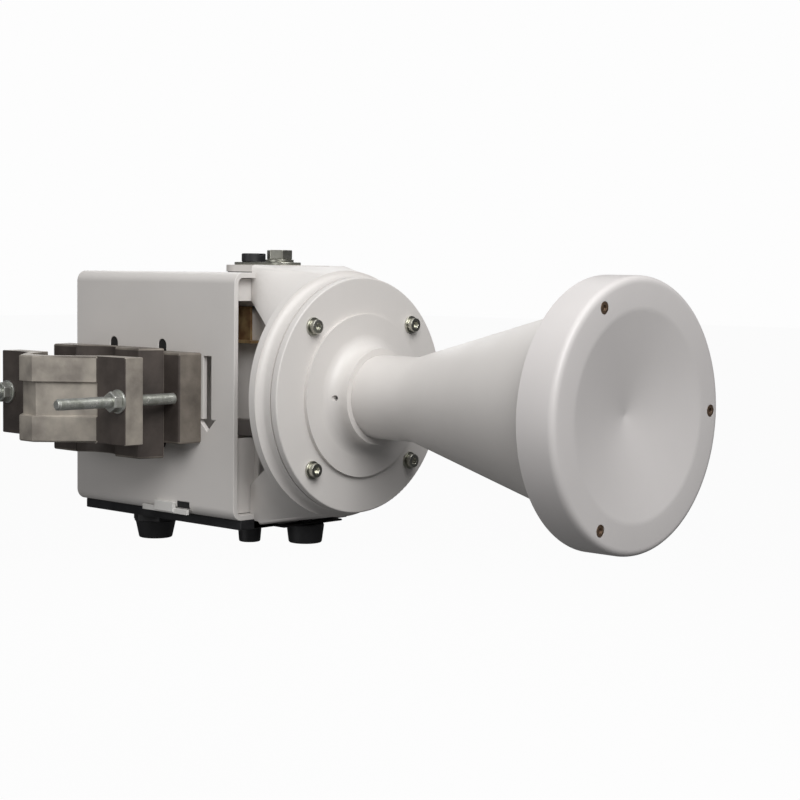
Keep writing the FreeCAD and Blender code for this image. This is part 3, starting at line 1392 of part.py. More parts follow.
# Bolts that hold the bracket on the rear bar and the saddle
keep(group([
    washer((bolt_seat, side * size.slot_offset, 0), RIGHT) for side in (1, -1)
]), "jaw_bolt_washers")
keep(group([
    fuse([
        hexagon(size.bolt_head_radius, size.bolt_head_height,
                (bolt_head_seat, side * size.slot_offset, 0), RIGHT),
        cylinder(size.bolt_radius, size.jaw_bolt_reach + size.washer_thickness,
                 (bolt_head_seat - size.jaw_bolt_reach, side * size.slot_offset, 0), RIGHT),
    ])
    for side in (1, -1)
]), "jaw_bolts")

doc.recompute()
faults = []
for item in doc.Objects:
    if "Invalid" in item.State or "Error" in item.State:
        faults.append(f"{item.Label}: {item.State}")
for item in finished:
    if item.Shape.isNull() or not item.Shape.isValid():
        faults.append(f"{item.Label}: no valid shape")
if faults:
    raise RuntimeError("; ".join(faults))
for item in finished:
    item.Shape.exportStep(f"parts/{item.Label}.step")
    print(item.Label, len(item.Shape.Solids), round(item.Shape.Volume))
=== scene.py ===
import math

import bpy
from mathutils import Matrix, Vector


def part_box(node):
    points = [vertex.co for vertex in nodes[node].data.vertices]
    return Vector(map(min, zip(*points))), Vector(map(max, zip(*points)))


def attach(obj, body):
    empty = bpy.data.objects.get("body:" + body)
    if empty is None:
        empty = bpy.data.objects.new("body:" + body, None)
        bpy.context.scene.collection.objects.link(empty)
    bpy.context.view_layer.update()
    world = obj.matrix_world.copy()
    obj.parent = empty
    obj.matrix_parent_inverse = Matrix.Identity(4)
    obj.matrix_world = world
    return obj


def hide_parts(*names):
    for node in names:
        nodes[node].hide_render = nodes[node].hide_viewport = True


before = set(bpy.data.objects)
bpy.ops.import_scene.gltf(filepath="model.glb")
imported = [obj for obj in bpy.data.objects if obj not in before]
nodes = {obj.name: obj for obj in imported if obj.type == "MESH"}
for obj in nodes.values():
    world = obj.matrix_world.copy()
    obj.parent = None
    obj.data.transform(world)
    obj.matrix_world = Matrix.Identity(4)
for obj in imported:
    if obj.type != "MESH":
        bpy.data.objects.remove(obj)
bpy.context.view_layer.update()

# Head casting: a hollow aluminium casting with a collar, a flared ledge and two arms, powder
# coated white. Each piece of the object is dressed the same way: its form is merged, and its
# edges are rounded by as much as that piece's making rounds them.
MM = 0.001
WELD = 0.01 * MM
FLAT_ANGLE = math.radians(0.5)
SHARP_ANGLE = math.radians(35)
DRIFT_LOW = 0.35
DRIFT_HIGH = 0.65
DRIFT_DETAIL = 4.0
SKIN_DETAIL = 3.0
MIX_SHARE = 0
MIX_LIGHT = 6
MIX_DARK = 7
MIX_RESULT = 2


def linear(code):
    """An sRGB hex colour as linear red, green, blue and alpha."""
    channels = [int(code[start:start + 2], 16) / 255 for start in (0, 2, 4)]
    return (*[c / 12.92 if c <= 0.04045 else ((c + 0.055) / 1.055) ** 2.4 for c in channels], 1.0)


def add_node(tree, kind, settings=None, links=None):
    """Adds a shader node, sets its values and joins its inputs to other nodes' outputs."""
    node = tree.nodes.new(kind)
    for name, value in (settings or {}).items():
        if isinstance(name, int) or name in node.inputs:
            node.inputs[name].default_value = value
        else:
            setattr(node, name, value)
    for name, source in (links or {}).items():
        tree.links.new(source, node.inputs[name])
    return node


def finish(name, light, dark, patch, roughness, spread=0.05, metallic=0.0, grain=1.5, depth=0.0):
    """A finish that drifts between two colours and two glosses over patches so many mm wide.

    With a depth, its skin also has a grain so many mm wide and deep.
    """
    material = bpy.data.materials.new(name)
    material.use_nodes = True
    tree = material.node_tree
    shader = tree.nodes["Principled BSDF"]
    shader.inputs["Metallic"].default_value = metallic
    place = add_node(tree, "ShaderNodeTexCoord").outputs["Object"]
    drift = add_node(tree, "ShaderNodeTexNoise",
                     {"Scale": 1 / (patch * MM), "Detail": DRIFT_DETAIL},
                     {"Vector": place}).outputs["Fac"]
    share = add_node(tree, "ShaderNodeMapRange",
                     {"From Min": DRIFT_LOW, "From Max": DRIFT_HIGH},
                     {"Value": drift}).outputs["Result"]
    tint = add_node(tree, "ShaderNodeMix",
                    {"data_type": "RGBA", MIX_LIGHT: linear(light), MIX_DARK: linear(dark)},
                    {MIX_SHARE: share})
    gloss = add_node(tree, "ShaderNodeMapRange",
                     {"To Min": roughness - spread, "To Max": roughness + spread},
                     {"Value": share})
    tree.links.new(tint.outputs[MIX_RESULT], shader.inputs["Base Color"])
    tree.links.new(gloss.outputs["Result"], shader.inputs["Roughness"])
    if depth:
        skin = add_node(tree, "ShaderNodeTexNoise",
                        {"Scale": 1 / (grain * MM), "Detail": SKIN_DETAIL}, {"Vector": place})
        bump = add_node(tree, "ShaderNodeBump", {"Distance": depth * MM},
                        {"Height": skin.outputs["Fac"]})
        tree.links.new(bump.outputs["Normal"], shader.inputs["Normal"])
    return material


def select_only(item):
    """Makes one object the only one that is selected, and the active one."""
    bpy.ops.object.select_all(action="DESELECT")
    item.select_set(True)
    bpy.context.view_layer.objects.active = item


def merge_form(item, keep_flats):
    """Joins a mesh's loose triangles, and makes each flat one face unless flats are kept."""
    select_only(item)
    bpy.ops.object.mode_set(mode="EDIT")
    bpy.ops.mesh.select_all(action="SELECT")
    bpy.ops.mesh.remove_doubles(threshold=WELD)
    if not keep_flats:
        bpy.ops.mesh.dissolve_limited(angle_limit=FLAT_ANGLE)
    bpy.ops.object.mode_set(mode="OBJECT")
    bpy.ops.mesh.customdata_custom_splitnormals_clear()


def round_edges(item, width, steps=2):
    """Rounds every sharp edge by so many millimetres and leaves the flats flat.

    A piece whose edges are rounded already takes no width, and only its flats are levelled.
    """
    select_only(item)
    bpy.ops.object.shade_smooth_by_angle(angle=SHARP_ANGLE)
    if not width:
        level = item.modifiers.new("level", "WEIGHTED_NORMAL")
        level.keep_sharp = True
        bpy.ops.object.modifier_apply(modifier=level.name)
        return
    bevel = item.modifiers.new("edges", "BEVEL")
    bevel.width = width * MM
    bevel.segments = steps
    bevel.limit_method = "ANGLE"
    bevel.angle_limit = SHARP_ANGLE
    bevel.use_clamp_overlap = False
    bevel.harden_normals = True
    bpy.ops.object.modifier_apply(modifier=bevel.name)


def settle(item, material, *names):
    """Gives a finished form its material and puts it in the place of the nodes that it shows."""
    item.data.materials.clear()
    item.data.materials.append(material)
    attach(item, "root")
    if names:
        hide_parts(*names)


def dress(name, material, width, steps=2, keep_flats=False):
    """Puts a form with rounded edges and a finish of its own in the place of one node."""
    item = bpy.data.objects.new(name + "_form", nodes[name].data.copy())
    bpy.context.scene.collection.objects.link(item)
    merge_form(item, keep_flats)
    round_edges(item, width, steps)
    settle(item, material, name)
    return item


# Powder coat: a warm white that hardly drifts, with a satin gloss and a fine orange peel.
white_coat = finish("white powder coat", "DEDAD6", "DAD6D2", patch=60, roughness=0.42,
                    grain=1.4, depth=0.02)
dress("head_casting", white_coat, 0, keep_flats=True)

# Mounting flange: turned from aluminium plate and powder coated, with a raised face and a
# socket that holds the horn's neck. A small steel grub screw locks the neck.
dress("mounting_flange", white_coat, 0, keep_flats=True)
# Plain steel: gone grey and half matt in the weather.
dull_steel = finish("dull steel", "A3A19E", "8F8D8A", patch=3, roughness=0.5, metallic=0.3)
dress("boss_grub_screw", dull_steel, 0.15)

# Flange gasket: cut from sheet rubber and squeezed between the flange and the head, so that
# only a dark line of it shows.
# Sheet rubber: near black and matt.
rubber = finish("black rubber", "201F1F", "191919", patch=12, roughness=0.75)
dress("flange_gasket", rubber, 0.1)

# Flange screws and washers: socket-head steel screws through the flange and the gasket into
# the head, zinc plated and passivated.
# Passivated zinc: a silvery sheen, clouded a little green and yellow.
zinc = finish("zinc-plated steel", "C9C8BE", "A5A59A", patch=5, roughness=0.3, metallic=1.0)
dress("flange_screws", zinc, 0.5)
dress("flange_washers", zinc, 0.3)

# Horn: spun from aluminium sheet over a former, so it is one skin from neck to mouth ring,
# powder coated with the flange's white.
dress("horn_tube", white_coat, 0.4, keep_flats=True)

# Radome cap: turned from white weatherproof plastic as one thin wall, with a skirt, a flat rim
# and a dished middle whose edges are eased. Three steel screws are sunk in its rim, and a
# rubber cord lies under it.
CAP_WALL = 3.0
CAP_FACE = 4.0
CAP_ROUND = 5.0
DISH_RADIUS = 67.2
DISH_DEPTH = 12.3
DISH_EASE = 2.0
CAP_SCREW_CIRCLE = 78.5
CAP_SINK_RADIUS = 4.1
CAP_SINK_DEPTH = 2.2
CAP_HOLE_RADIUS = 2.1
CAP_STEPS = 180
EDGE_STEPS = 8
CENTRE_STEPS = 4
HOLE_STEPS = 48
FINE_WELD = 0.001 * MM
QUARTER_TURN = math.radians(90)
cap_low, cap_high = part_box("radome_cap")
cap_radius = (cap_high.x - cap_low.x) / 2 / MM
cap_skirt = (cap_high.y - cap_low.y) / MM
cap_centre = Vector(((cap_low.x + cap_high.x) / 2, cap_low.y, (cap_low.z + cap_high.z) / 2))
# Weatherproof plastic: a colder white than the coat, with a smoother skin.
white_plastic = finish("white weatherproof plastic", "DAD6D4", "D5D1CF", patch=90,
                       roughness=0.4, grain=2.0, depth=0.01)


def bend(start, corner, end, steps):
    """Points of a smooth bend that leaves one point towards a corner and arrives at another."""
    points = []
    for step in range(steps + 1):
        share = step / steps
        points.append(tuple(a * (1 - share) ** 2 + 2 * b * share * (1 - share) + c * share ** 2
                            for a, b, c in zip(start, corner, end)))
    return points


def turn_on_lathe(name, profile, centre):
    """A wall of revolution about the horn's axis, from points (radius, depth behind the front)."""
    mesh = bpy.data.meshes.new(name)
    mesh.from_pydata([(radius * MM, 0, -depth * MM) for radius, depth in profile],
                     [(index, index + 1) for index in range(len(profile) - 1)], [])
    item = bpy.data.objects.new(name, mesh)
    bpy.context.scene.collection.objects.link(item)
    select_only(item)
    lathe = item.modifiers.new("lathe", "SCREW")
    lathe.steps = lathe.render_steps = CAP_STEPS
    lathe.use_merge_vertices = True
    lathe.merge_threshold = FINE_WELD
    bpy.ops.object.modifier_apply(modifier=lathe.name)
    item.data.transform(Matrix.Translation(centre) @ Matrix.Rotation(QUARTER_TURN, 4, "X"))
    bpy.ops.object.mode_set(mode="EDIT")
    bpy.ops.mesh.select_all(action="SELECT")
    bpy.ops.mesh.remove_doubles(threshold=FINE_WELD)
    bpy.ops.mesh.normals_make_consistent(inside=False)
    bpy.ops.object.mode_set(mode="OBJECT")
    return item


def drill_along_horn(item, radius, depth, places):
    """Cuts round holes so many millimetres deep into the front of a piece."""
    for place in places:
        bpy.ops.object.select_all(action="DESELECT")
        bpy.ops.mesh.primitive_cylinder_add(vertices=HOLE_STEPS, radius=radius * MM,
                                            depth=depth * MM * 2, location=place,
                                            rotation=(QUARTER_TURN, 0, 0))
        drill = bpy.context.object
        select_only(item)
        hole = item.modifiers.new("hole", "BOOLEAN")
        hole.operation = "DIFFERENCE"
        hole.object = drill
        bpy.ops.object.modifier_apply(modifier=hole.name)
        bpy.data.objects.remove(drill)


dish_slope = DISH_DEPTH / DISH_RADIUS
centre_ease = DISH_EASE / 3
centre_depth = DISH_DEPTH - centre_ease * dish_slope
skirt_inside = cap_radius - CAP_WALL
cap_profile = [(0, DISH_DEPTH + CAP_WALL), (DISH_RADIUS, CAP_FACE), (skirt_inside, CAP_FACE),
               (skirt_inside, cap_skirt), (cap_radius, cap_skirt)]
cap_profile += bend((cap_radius, CAP_ROUND), (cap_radius, 0), (cap_radius - CAP_ROUND, 0),
                    EDGE_STEPS)
cap_profile += bend((DISH_RADIUS + DISH_EASE, 0), (DISH_RADIUS, 0),
                    (DISH_RADIUS - DISH_EASE, DISH_EASE * dish_slope), EDGE_STEPS)
cap_profile += bend((DISH_EASE, DISH_DEPTH - DISH_EASE * dish_slope),
                    (centre_ease, centre_depth), (0, centre_depth), CENTRE_STEPS)
cap_screw_places = [
    cap_centre + Vector((math.cos(turn), 0, math.sin(turn))) * CAP_SCREW_CIRCLE * MM
    for turn in (0, math.tau / 3, -math.tau / 3)
]
cap = turn_on_lathe("radome_cap_turned", cap_profile, cap_centre)
drill_along_horn(cap, CAP_SINK_RADIUS, CAP_SINK_DEPTH, cap_screw_places)
drill_along_horn(cap, CAP_HOLE_RADIUS, CAP_FACE * 2, cap_screw_places)
select_only(cap)
bpy.ops.object.shade_smooth_by_angle(angle=SHARP_ANGLE)
settle(cap, white_plastic, "radome_cap")
dress("radome_seal", rubber, 0.1)
# Rusted steel: brown and patchy, with some shine left.
brown_steel = finish("browned steel", "7A6553", "574638", patch=3, roughness=0.4, metallic=0.5)
dress("radome_screws", brown_steel, 0.3)

# Feed housing: a die-cast aluminium box on the back of the head, coated white like it. Its
# cover and the waveguide cup are left bare, and all are held with zinc-plated screws.
# Bare die-cast aluminium: pale grey, with a soft sheen and a fine grain.
bare_aluminium = finish("die-cast aluminium", "A9ACB2", "9C9FA5", patch=25, roughness=0.45,
                        metallic=0.85, grain=1.2, depth=0.03)
dress("feed_housing", white_coat, 0.8)
dress("rear_cover", bare_aluminium, 0.5)
dress("waveguide_cup", bare_aluminium, 0.3)
dress("cover_gasket", rubber, 0.1)
for name in ("housing_screws", "cover_screws", "cup_screws", "jack_screws"):
    dress(name, zinc, 0.25)

# Probes and coaxial lines: brass pins in the waveguide, with bent copper tubes that lead to the
# jacks. The jacks are turned and nickel plated, with a white insulator round a brass contact.
# Tarnished brass: browned in patches, with a low shine.
brass = finish("tarnished brass", "B39A70", "8A6A4C", patch=8, roughness=0.4, metallic=0.6)
# Drawn copper: reddish and bright.
copper = finish("copper", "B4714C", "A2613E", patch=8, roughness=0.32, metallic=1.0)
# Nickel plating: a warm pale grey, nearly a mirror.
nickel = finish("nickel plating", "C9C4B8", "BEB8AA", patch=10, roughness=0.22, metallic=1.0)
# Fluoroplastic: milky white and waxy.
fluoroplastic = finish("white fluoroplastic", "EFEFEC", "E8E8E4", patch=20, roughness=0.5)
for hand in ("left", "right"):
    dress(f"probe_{hand}", brass, 0.1)
    dress(f"coaxial_line_{hand}", copper, 0.1)
    dress(f"coaxial_jack_{hand}", nickel, 0.15)
    dress(f"jack_insulator_{hand}", fluoroplastic, 0.1)
    dress(f"jack_contact_{hand}", brass, 0.2)

# Earth bracket and terminal block: a folded brass strip and a moulded grey block, both on the
# left side of the feed housing.
dress("earth_bracket", brass, 0.2)
# Moulded nylon: warm grey and satin. The mould's fine grain is drawn coarser, so that it shows.
grey_nylon = finish("grey nylon", "807B78", "75706D", patch=12, roughness=0.45,
                    grain=0.8, depth=0.03)
dress("terminal_block", grey_nylon, 0.5)

# Splash guard: two angles of thin sheet, coated white, lapped on the housing's left side. Their
# front legs reach across to the bracket's web and close the space above and below the housing.
BRACKET_SHEET = 4.0
GUARD_THICKNESS = 1.5
GUARD_LAP = 4.0
GUARD_GAP = 0.4
GUARD_FRONT = -101.0
GUARD_BACK = -20.0
GUARD_STEP = 4.0
GUARD_STEP_UP = -64.5
FRONT_LEG_ABOVE = 70.0
FRONT_LEG_BELOW = -28.0
NOTCH_PLAY = 1.0
NOTCH_RISE = 0.5
housing_low, housing_high = (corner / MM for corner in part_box("feed_housing"))
bracket_low, bracket_high = (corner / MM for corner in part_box("yoke_bracket"))
earth_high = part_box("earth_bracket")[1] / MM
guard_top = bracket_high.z - BRACKET_SHEET - GUARD_GAP
guard_bottom = bracket_low.z + BRACKET_SHEET + GUARD_GAP
lap_top = housing_high.z - GUARD_LAP
lap_bottom = housing_low.z + GUARD_LAP
notch_back = earth_high.y + NOTCH_PLAY
notch_top = housing_high.z + NOTCH_RISE
leg_outside = bracket_low.x + BRACKET_SHEET + GUARD_GAP
leg_inside = housing_low.x - GUARD_THICKNESS
corner_cut = BRACKET_SHEET
# The upper side leg is notched over the earth bracket, and the lower one steps forward. The
# front legs' corners are cut to clear the bracket's bends.
side_outlines = (
    ((GUARD_FRONT, guard_top), (GUARD_BACK, guard_top), (GUARD_BACK, lap_top),
     (notch_back, lap_top), (notch_back, notch_top), (GUARD_FRONT, notch_top)),
    ((GUARD_FRONT - GUARD_STEP, lap_bottom), (GUARD_BACK, lap_bottom),
     (GUARD_BACK, guard_bottom), (GUARD_FRONT, guard_bottom), (GUARD_FRONT, GUARD_STEP_UP),
     (GUARD_FRONT - GUARD_STEP, GUARD_STEP_UP)),
)
front_outlines = (
    ((leg_outside, FRONT_LEG_ABOVE), (leg_inside, FRONT_LEG_ABOVE), (leg_inside, guard_top),
     (leg_outside + corner_cut, guard_top), (leg_outside, guard_top - corner_cut)),
    ((leg_outside, guard_bottom + corner_cut), (leg_outside + corner_cut, guard_bottom),
     (leg_inside, guard_bottom), (leg_inside, FRONT_LEG_BELOW), (leg_outside, FRONT_LEG_BELOW)),
)


def plates_of_sheet(name, outlines, push):
    """Plates from the outlines of one side, each given its thickness by a push in millimetres."""
    corners = []
    faces = []
    for outline in outlines:
        faces.append(tuple(range(len(corners), len(corners) + len(outline))))
        corners += [Vector(corner) * MM for corner in outline]
    mesh = bpy.data.meshes.new(name)
    mesh.from_pydata(corners, [], faces)
    item = bpy.data.objects.new(name, mesh)
    bpy.context.scene.collection.objects.link(item)
    select_only(item)
    bpy.ops.object.mode_set(mode="EDIT")
    bpy.ops.mesh.select_all(action="SELECT")
    bpy.ops.mesh.extrude_region_move(TRANSFORM_OT_translate={"value": Vector(push) * MM})
    bpy.ops.mesh.select_all(action="SELECT")
    bpy.ops.mesh.normals_make_consistent(inside=False)
    bpy.ops.object.mode_set(mode="OBJECT")
    return item


guard = plates_of_sheet(
    "splash_guard",
    [[(housing_low.x, along, up) for along, up in outline] for outline in side_outlines],
    (-GUARD_THICKNESS, 0, 0))
front_legs = plates_of_sheet(
    "front legs",
    [[(across, GUARD_FRONT, up) for across, up in outline] for outline in front_outlines],
    (0, GUARD_THICKNESS, 0))
select_only(guard)
front_legs.select_set(True)
bpy.ops.object.join()
round_edges(guard, 0.3, 1)
settle(guard, white_coat)

# Bracket: folded from 4 mm aluminium sheet, cut for the clamp's bolts and with an arrow that
# points down, then powder coated. The side cover is thinner sheet in the same coat, and black
# nylon liners lie between the head's lugs and the bracket.
# Moulded nylon: near black and satin, with its grain drawn as coarse as the grey nylon's.
black_nylon = finish("black nylon", "1D1D1F", "252527", patch=12, roughness=0.42,
                     grain=0.8, depth=0.03)
dress("yoke_bracket", white_coat, 0.5)
dress("side_cover", white_coat, 0.3)
dress("side_cover_screws", zinc, 0.25)
dress("lug_liners", black_nylon, 0.1)

# Slot plugs: black rubber pieces in the ends of the web's two long slots and in its small slot,
# which stand in for the shade seen through them: painted shade. Those in the long slots have a
# lip on the inside, and the small plug's place across is measured from the web's outside.
SLOT_OFFSET = 28.3
SLOT_HALF_WIDTH = 4.5
SLOT_TOP = 41.0
SLOT_BOTTOM = -39.4
PLUG_STRAIGHT = 22.0
PLUG_LIP = 1.6
PLUG_SUNK = 0.5
PLUG_STEPS = 32
SMALL_PLUG_PLACE = (2.6, -52.3, -79.5)
SMALL_PLUG_SIZE = (4.4, 14, 4.6)
web_outside = bracket_low.x * MM
web_inside = web_outside + BRACKET_SHEET * MM


def slot_shade_plug(radius, start, end, along, up):
    """A plug with one round end above the other, from start to end across the web."""
    bpy.ops.object.select_all(action="DESELECT")
    bpy.ops.mesh.primitive_cylinder_add(vertices=PLUG_STEPS, radius=radius * MM,
                                        depth=end - start,
                                        location=((start + end) / 2, along * MM, up * MM),
                                        rotation=(0, QUARTER_TURN, 0))
    plug = bpy.context.object
    bpy.ops.object.transform_apply(location=True, rotation=True, scale=True)
    for corner in plug.data.vertices:
        if corner.co.z > up * MM:
            corner.co.z += PLUG_STRAIGHT * MM
    return plug


plugs = []
plug_inside = web_inside + PLUG_LIP * MM
for along in (-SLOT_OFFSET, SLOT_OFFSET):
    for up in (SLOT_TOP - SLOT_HALF_WIDTH - PLUG_STRAIGHT, SLOT_BOTTOM + SLOT_HALF_WIDTH):
        plugs.append(slot_shade_plug(SLOT_HALF_WIDTH, web_outside + PLUG_SUNK * MM, plug_inside,
                               along, up))
        plugs.append(slot_shade_plug(SLOT_HALF_WIDTH + PLUG_LIP, web_inside, plug_inside, along, up))
small_across, small_along, small_up = (length * MM for length in SMALL_PLUG_PLACE)
# The small plug fills the small slot with black: painted shade.
bpy.ops.object.select_all(action="DESELECT")
bpy.ops.mesh.primitive_cube_add(size=1, scale=[length * MM for length in SMALL_PLUG_SIZE],
                                location=(web_outside + small_across, small_along, small_up))
plugs.append(bpy.context.object)
bpy.ops.object.transform_apply(location=True, rotation=True, scale=True)
for plug in plugs:
    plug.select_set(True)
bpy.context.view_layer.objects.active = plugs[0]
bpy.ops.object.join()
slot_shade_plugs = plugs[0]
slot_shade_plugs.name = "slot_shade_plugs"
round_edges(slot_shade_plugs, 0.4)
settle(slot_shade_plugs, rubber)

# Black plate under the bracket and its fittings: mouldings of the same black nylon, screwed or
# pushed in, with the round edges that a mould gives.
dress("base_plate", black_nylon, 0.8)
dress("drain_plug", black_nylon, 1.2, 3)
dress("blanking_plug", black_nylon, 1.0, 3)
dress("cable_gland", black_nylon, 0.8)
dress("gland_nut", black_nylon, 0.6)

# Cable clip: a moulded strip of white nylon with a thicker tab, on the outside of the
# bracket's web, at its lower edge.
# Moulded nylon: milky white and smooth.
white_nylon = finish("white nylon", "E6E4E0", "E0DEDA", patch=15, roughness=0.4)
dress("cable_clip", white_nylon, 0.4)

# Head bolts and lock screws: the plate, bolt, nuts and washers are zinc-plated steel, and the
# lock screws have black moulded heads.
dress("lock_plate", zinc, 0.4)
dress("head_bolt", zinc, 0.6)
dress("lower_head_screw", zinc, 0.3)
dress("head_nuts", zinc, 0.6)
dress("head_washers", zinc, 0.3)
dress("lock_screws", black_nylon, 0.8)
dress("lock_nuts", zinc, 0.4)

# Clamp: bar, saddle and jaw are sand-cast aluminium, left bare and dulled by weather. The jaw
# is drawn paler, with painted light; the bar and saddle are drawn darker, with the shadow of the
# pole painted on; and broad flanks that face left, outside the jaw's crown, are painted dark
# brown as shade. The nuts, bolts and washers are newer, with bright zinc.
CROWN_HALF_WIDTH = 26.0
FLANK_FACING = -0.3
SMALLEST_FLANK = 2.0
# Sand-cast aluminium: rough and blotched. Its pale tone carries painted light, its grey tone a
# painted shadow, and its brown tone painted shade. The sand's grain is drawn coarser than it is,
# so that it shows.
painted_lit_casting = finish("cast aluminium with painted light", "BEB6AA", "8E877F", patch=20, roughness=0.5,
                      metallic=0.35, grain=2.2, depth=0.1)
painted_shadow_casting = finish("cast aluminium in painted pole shadow", "91897F", "68615A", patch=20, roughness=0.5,
                      metallic=0.4, grain=2.2, depth=0.12)
painted_shade_casting = finish("cast aluminium in painted flank shade", "574F4A", "433C38", patch=20, roughness=0.55,
                       metallic=0.2, grain=2.2, depth=0.12)
for name, casting, lit_half_width in (("front_jaw", painted_lit_casting, CROWN_HALF_WIDTH),
                                        ("rear_bar", painted_shadow_casting, 0),
                                        ("saddle", painted_shadow_casting, 0)):
    item = dress(name, casting, 0.6)
    # Broad faces that turn to the left, outside the jaw's crown, take the painted shade.
    item.data.materials.append(painted_shade_casting)
    for face in item.data.polygons:
        broad = face.area > (SMALLEST_FLANK * MM) ** 2
        painted_shade = abs(face.center.y) > lit_half_width * MM
        if face.normal.x < FLANK_FACING and broad and painted_shade:
            face.material_index = 1
# Newer zinc plating: bright silver, clouded grey.
bright_zinc = finish("bright zinc-plated steel", "E2E3DE", "BFC1B9", patch=5, roughness=0.32,
                     metallic=0.8)
for name, width in (("clamp_nuts", 0.7), ("jaw_bolts", 0.7), ("clamp_washers", 0.3),
                    ("jaw_bolt_washers", 0.3)):
    dress(name, bright_zinc, width)

# Clamp studs: M8 threaded rod, rolled from steel and zinc plated. Each is a core with one
# thread wound round it.
THREAD_PITCH = 1.25
THREAD_DEPTH = 0.7
THREAD_STEPS = 20
TOOTH_SUNK = 0.05
TOOTH_HALF_FOOT = 0.45
TOOTH_HALF_CREST = 0.08
ROD_CHAMFER = 0.6
ROD_STEPS = 32
PLAIN_TURNS = 2
studs_low, studs_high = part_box("clamp_studs")
stud_radius = (studs_high.z - studs_low.z) / 2
root_radius = stud_radius - THREAD_DEPTH * MM
stud_length = studs_high.x - studs_low.x
turns = int(stud_length / (THREAD_PITCH * MM)) - PLAIN_TURNS


def threaded_rod():
    """A threaded rod along Z from the origin: a plain core and the tooth that winds round it."""
    bpy.ops.object.select_all(action="DESELECT")
    bpy.ops.mesh.primitive_cylinder_add(vertices=ROD_STEPS, radius=root_radius,
                                        depth=stud_length, location=(0, 0, stud_length / 2))
    core = bpy.context.object
    bpy.ops.object.transform_apply(location=True, rotation=True, scale=True)
    round_edges(core, ROD_CHAMFER, 1)
    foot = root_radius - TOOTH_SUNK * MM
    half_foot = THREAD_PITCH * MM * TOOTH_HALF_FOOT
    half_crest = THREAD_PITCH * MM * TOOTH_HALF_CREST
    start = THREAD_PITCH * MM
    corners = [(foot, 0, start - half_foot), (stud_radius, 0, start - half_crest),
               (stud_radius, 0, start + half_crest), (foot, 0, start + half_foot)]
    mesh = bpy.data.meshes.new("tooth")
    mesh.from_pydata(corners, [(0, 1), (1, 2), (2, 3), (3, 0)], [])
    tooth = bpy.data.objects.new("tooth", mesh)
    bpy.context.scene.collection.objects.link(tooth)
    select_only(tooth)
    winding = tooth.modifiers.new("winding", "SCREW")
    winding.screw_offset = THREAD_PITCH * MM
    winding.iterations = turns
    winding.steps = winding.render_steps = THREAD_STEPS
    bpy.ops.object.modifier_apply(modifier=winding.name)
    bpy.ops.object.mode_set(mode="EDIT")
    bpy.ops.mesh.select_all(action="DESELECT")
    bpy.ops.mesh.select_mode(type="EDGE")
    bpy.ops.mesh.select_non_manifold()
    bpy.ops.mesh.edge_face_add()
    bpy.ops.mesh.select_all(action="SELECT")
    bpy.ops.mesh.normals_make_consistent(inside=False)
    bpy.ops.object.mode_set(mode="OBJECT")
    bpy.ops.object.shade_smooth_by_angle(angle=SHARP_ANGLE)
    core.select_set(True)
    bpy.context.view_layer.objects.active = core
    bpy.ops.object.join()
    return core


lay_along_x = Matrix.Rotation(QUARTER_TURN, 4, "Y")
first_rod = threaded_rod()
rods = [first_rod, bpy.data.objects.new("second rod", first_rod.data.copy())]
bpy.context.scene.collection.objects.link(rods[1])
for rod, side in zip(rods, (-1, 1)):
    across = side * (studs_high.y - stud_radius)
    place = Vector((studs_low.x, across, (studs_low.z + studs_high.z) / 2))
    rod.data.transform(Matrix.Translation(place) @ lay_along_x)
bpy.ops.object.select_all(action="DESELECT")
for rod in rods:
    rod.select_set(True)
bpy.context.view_layer.objects.active = first_rod
bpy.ops.object.join()
first_rod.name = "clamp_studs_threaded"
settle(first_rod, bright_zinc, "clamp_studs")

# Floor: a pale sweep well below the part. The camera sees it nearly white, with a faint shadow;
# the part sees it grey, so that the part's underside stays in shade.
FLOOR_DROP = 0.42
FLOOR_SIZE = 30
GLOW_SHARE = 0.96
bpy.ops.object.select_all(action="DESELECT")
bpy.ops.mesh.primitive_plane_add(size=FLOOR_SIZE, location=(0, 0, -FLOOR_DROP))
floor = bpy.context.object
floor.name = "floor"
sweep = bpy.data.materials.new("pale sweep")
sweep.use_nodes = True
sweep_tree = sweep.node_tree
sweep_tree.nodes.clear()
sight = add_node(sweep_tree, "ShaderNodeLightPath")
lit = add_node(sweep_tree, "ShaderNodeBsdfDiffuse", {"Color": linear("F4F4F3")})
glow = add_node(sweep_tree, "ShaderNodeEmission", {"Color": linear("FFFFFF"), "Strength": 1.0})
dull = add_node(sweep_tree, "ShaderNodeBsdfDiffuse", {"Color": linear("6A6A6A")})
seen = add_node(sweep_tree, "ShaderNodeMixShader", {0: GLOW_SHARE},
                {1: lit.outputs[0], 2: glow.outputs[0]})
either = add_node(sweep_tree, "ShaderNodeMixShader", None,
                  {0: sight.outputs["Is Camera Ray"], 1: dull.outputs[0], 2: seen.outputs[0]})
add_node(sweep_tree, "ShaderNodeOutputMaterial", None, {"Surface": either.outputs[0]})
floor.data.materials.append(sweep)

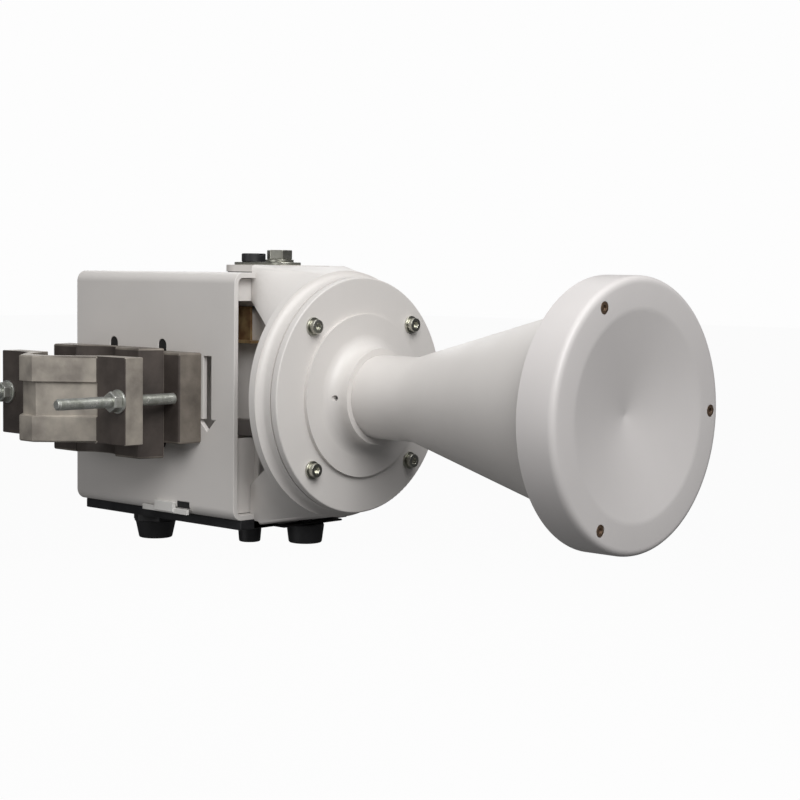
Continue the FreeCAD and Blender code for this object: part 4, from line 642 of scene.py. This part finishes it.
# Air: weak even light from all round, near white where the camera sees it.
world = bpy.data.worlds.new("air")
bpy.context.scene.world = world
world.use_nodes = True
air = world.node_tree
air.nodes.clear()
rays = add_node(air, "ShaderNodeLightPath")
bright = add_node(air, "ShaderNodeMath", {"operation": "MAXIMUM"},
                  {0: rays.outputs["Is Camera Ray"], 1: rays.outputs["Is Transmission Ray"]})
faint = add_node(air, "ShaderNodeBackground", {"Color": linear("F6F7FB"), "Strength": 0.14})
pale = add_node(air, "ShaderNodeBackground", {"Color": linear("FDFDFD"), "Strength": 1.0})
mixed = add_node(air, "ShaderNodeMixShader", None,
                 {0: bright.outputs[0], 1: faint.outputs[0], 2: pale.outputs[0]})
add_node(air, "ShaderNodeOutputWorld", None, {"Surface": mixed.outputs[0]})

# Lamps: a large soft key in front, to the left and above, with weaker ones round the part.
LAMP_SIZE = 1.0
LAMP_AIM = Vector((0.1, -0.2, 0))


def softbox(name, place, watts):
    """A square soft lamp at a place, turned to the middle of the part."""
    light = bpy.data.lights.new(name, "AREA")
    light.size = LAMP_SIZE
    light.energy = watts
    item = bpy.data.objects.new(name, light)
    bpy.context.scene.collection.objects.link(item)
    item.location = place
    item.rotation_euler = (LAMP_AIM - Vector(place)).to_track_quat("-Z", "Y").to_euler()


softbox("key", (-0.64, -1.22, 0.98), 19.6)
softbox("front and above", (0.1, -1.0, 1.3), 6.4)
softbox("above", (0.1, -0.2, 1.6), 4.0)
softbox("left", (-1.4, 0.15, 0.1), 3.8)
softbox("behind", (1.1, 1.2, 0.7), 4.5)

# Camera: in front of the horn and to its left, above the clamp, looking slightly down.
HEADING = math.radians(-47.16)
PITCH = math.radians(4.05)
ROLL = math.radians(0.68)
CAMERA_PLACE = (-0.8024, -1.0658, 0.0927)
FOCAL_LENGTH = 81.9
SENSOR_WIDTH = 36
backward = Vector((math.sin(HEADING) * math.cos(PITCH), -math.cos(HEADING) * math.cos(PITCH),
                   math.sin(PITCH)))
level = Vector((math.cos(HEADING), math.sin(HEADING), 0))
above = backward.cross(level)
right = level * math.cos(ROLL) + above * math.sin(ROLL)
upright = above * math.cos(ROLL) - level * math.sin(ROLL)
camera = bpy.data.objects.new("camera", bpy.data.cameras.new("camera"))
bpy.context.scene.collection.objects.link(camera)
camera.matrix_world = Matrix.Translation(CAMERA_PLACE) @ Matrix((
    (right.x, upright.x, backward.x, 0), (right.y, upright.y, backward.y, 0),
    (right.z, upright.z, backward.z, 0), (0, 0, 0, 1)))
camera.data.lens = FOCAL_LENGTH
camera.data.sensor_width = SENSOR_WIDTH
bpy.context.scene.camera = camera
bpy.context.scene.view_settings.view_transform = "Standard"
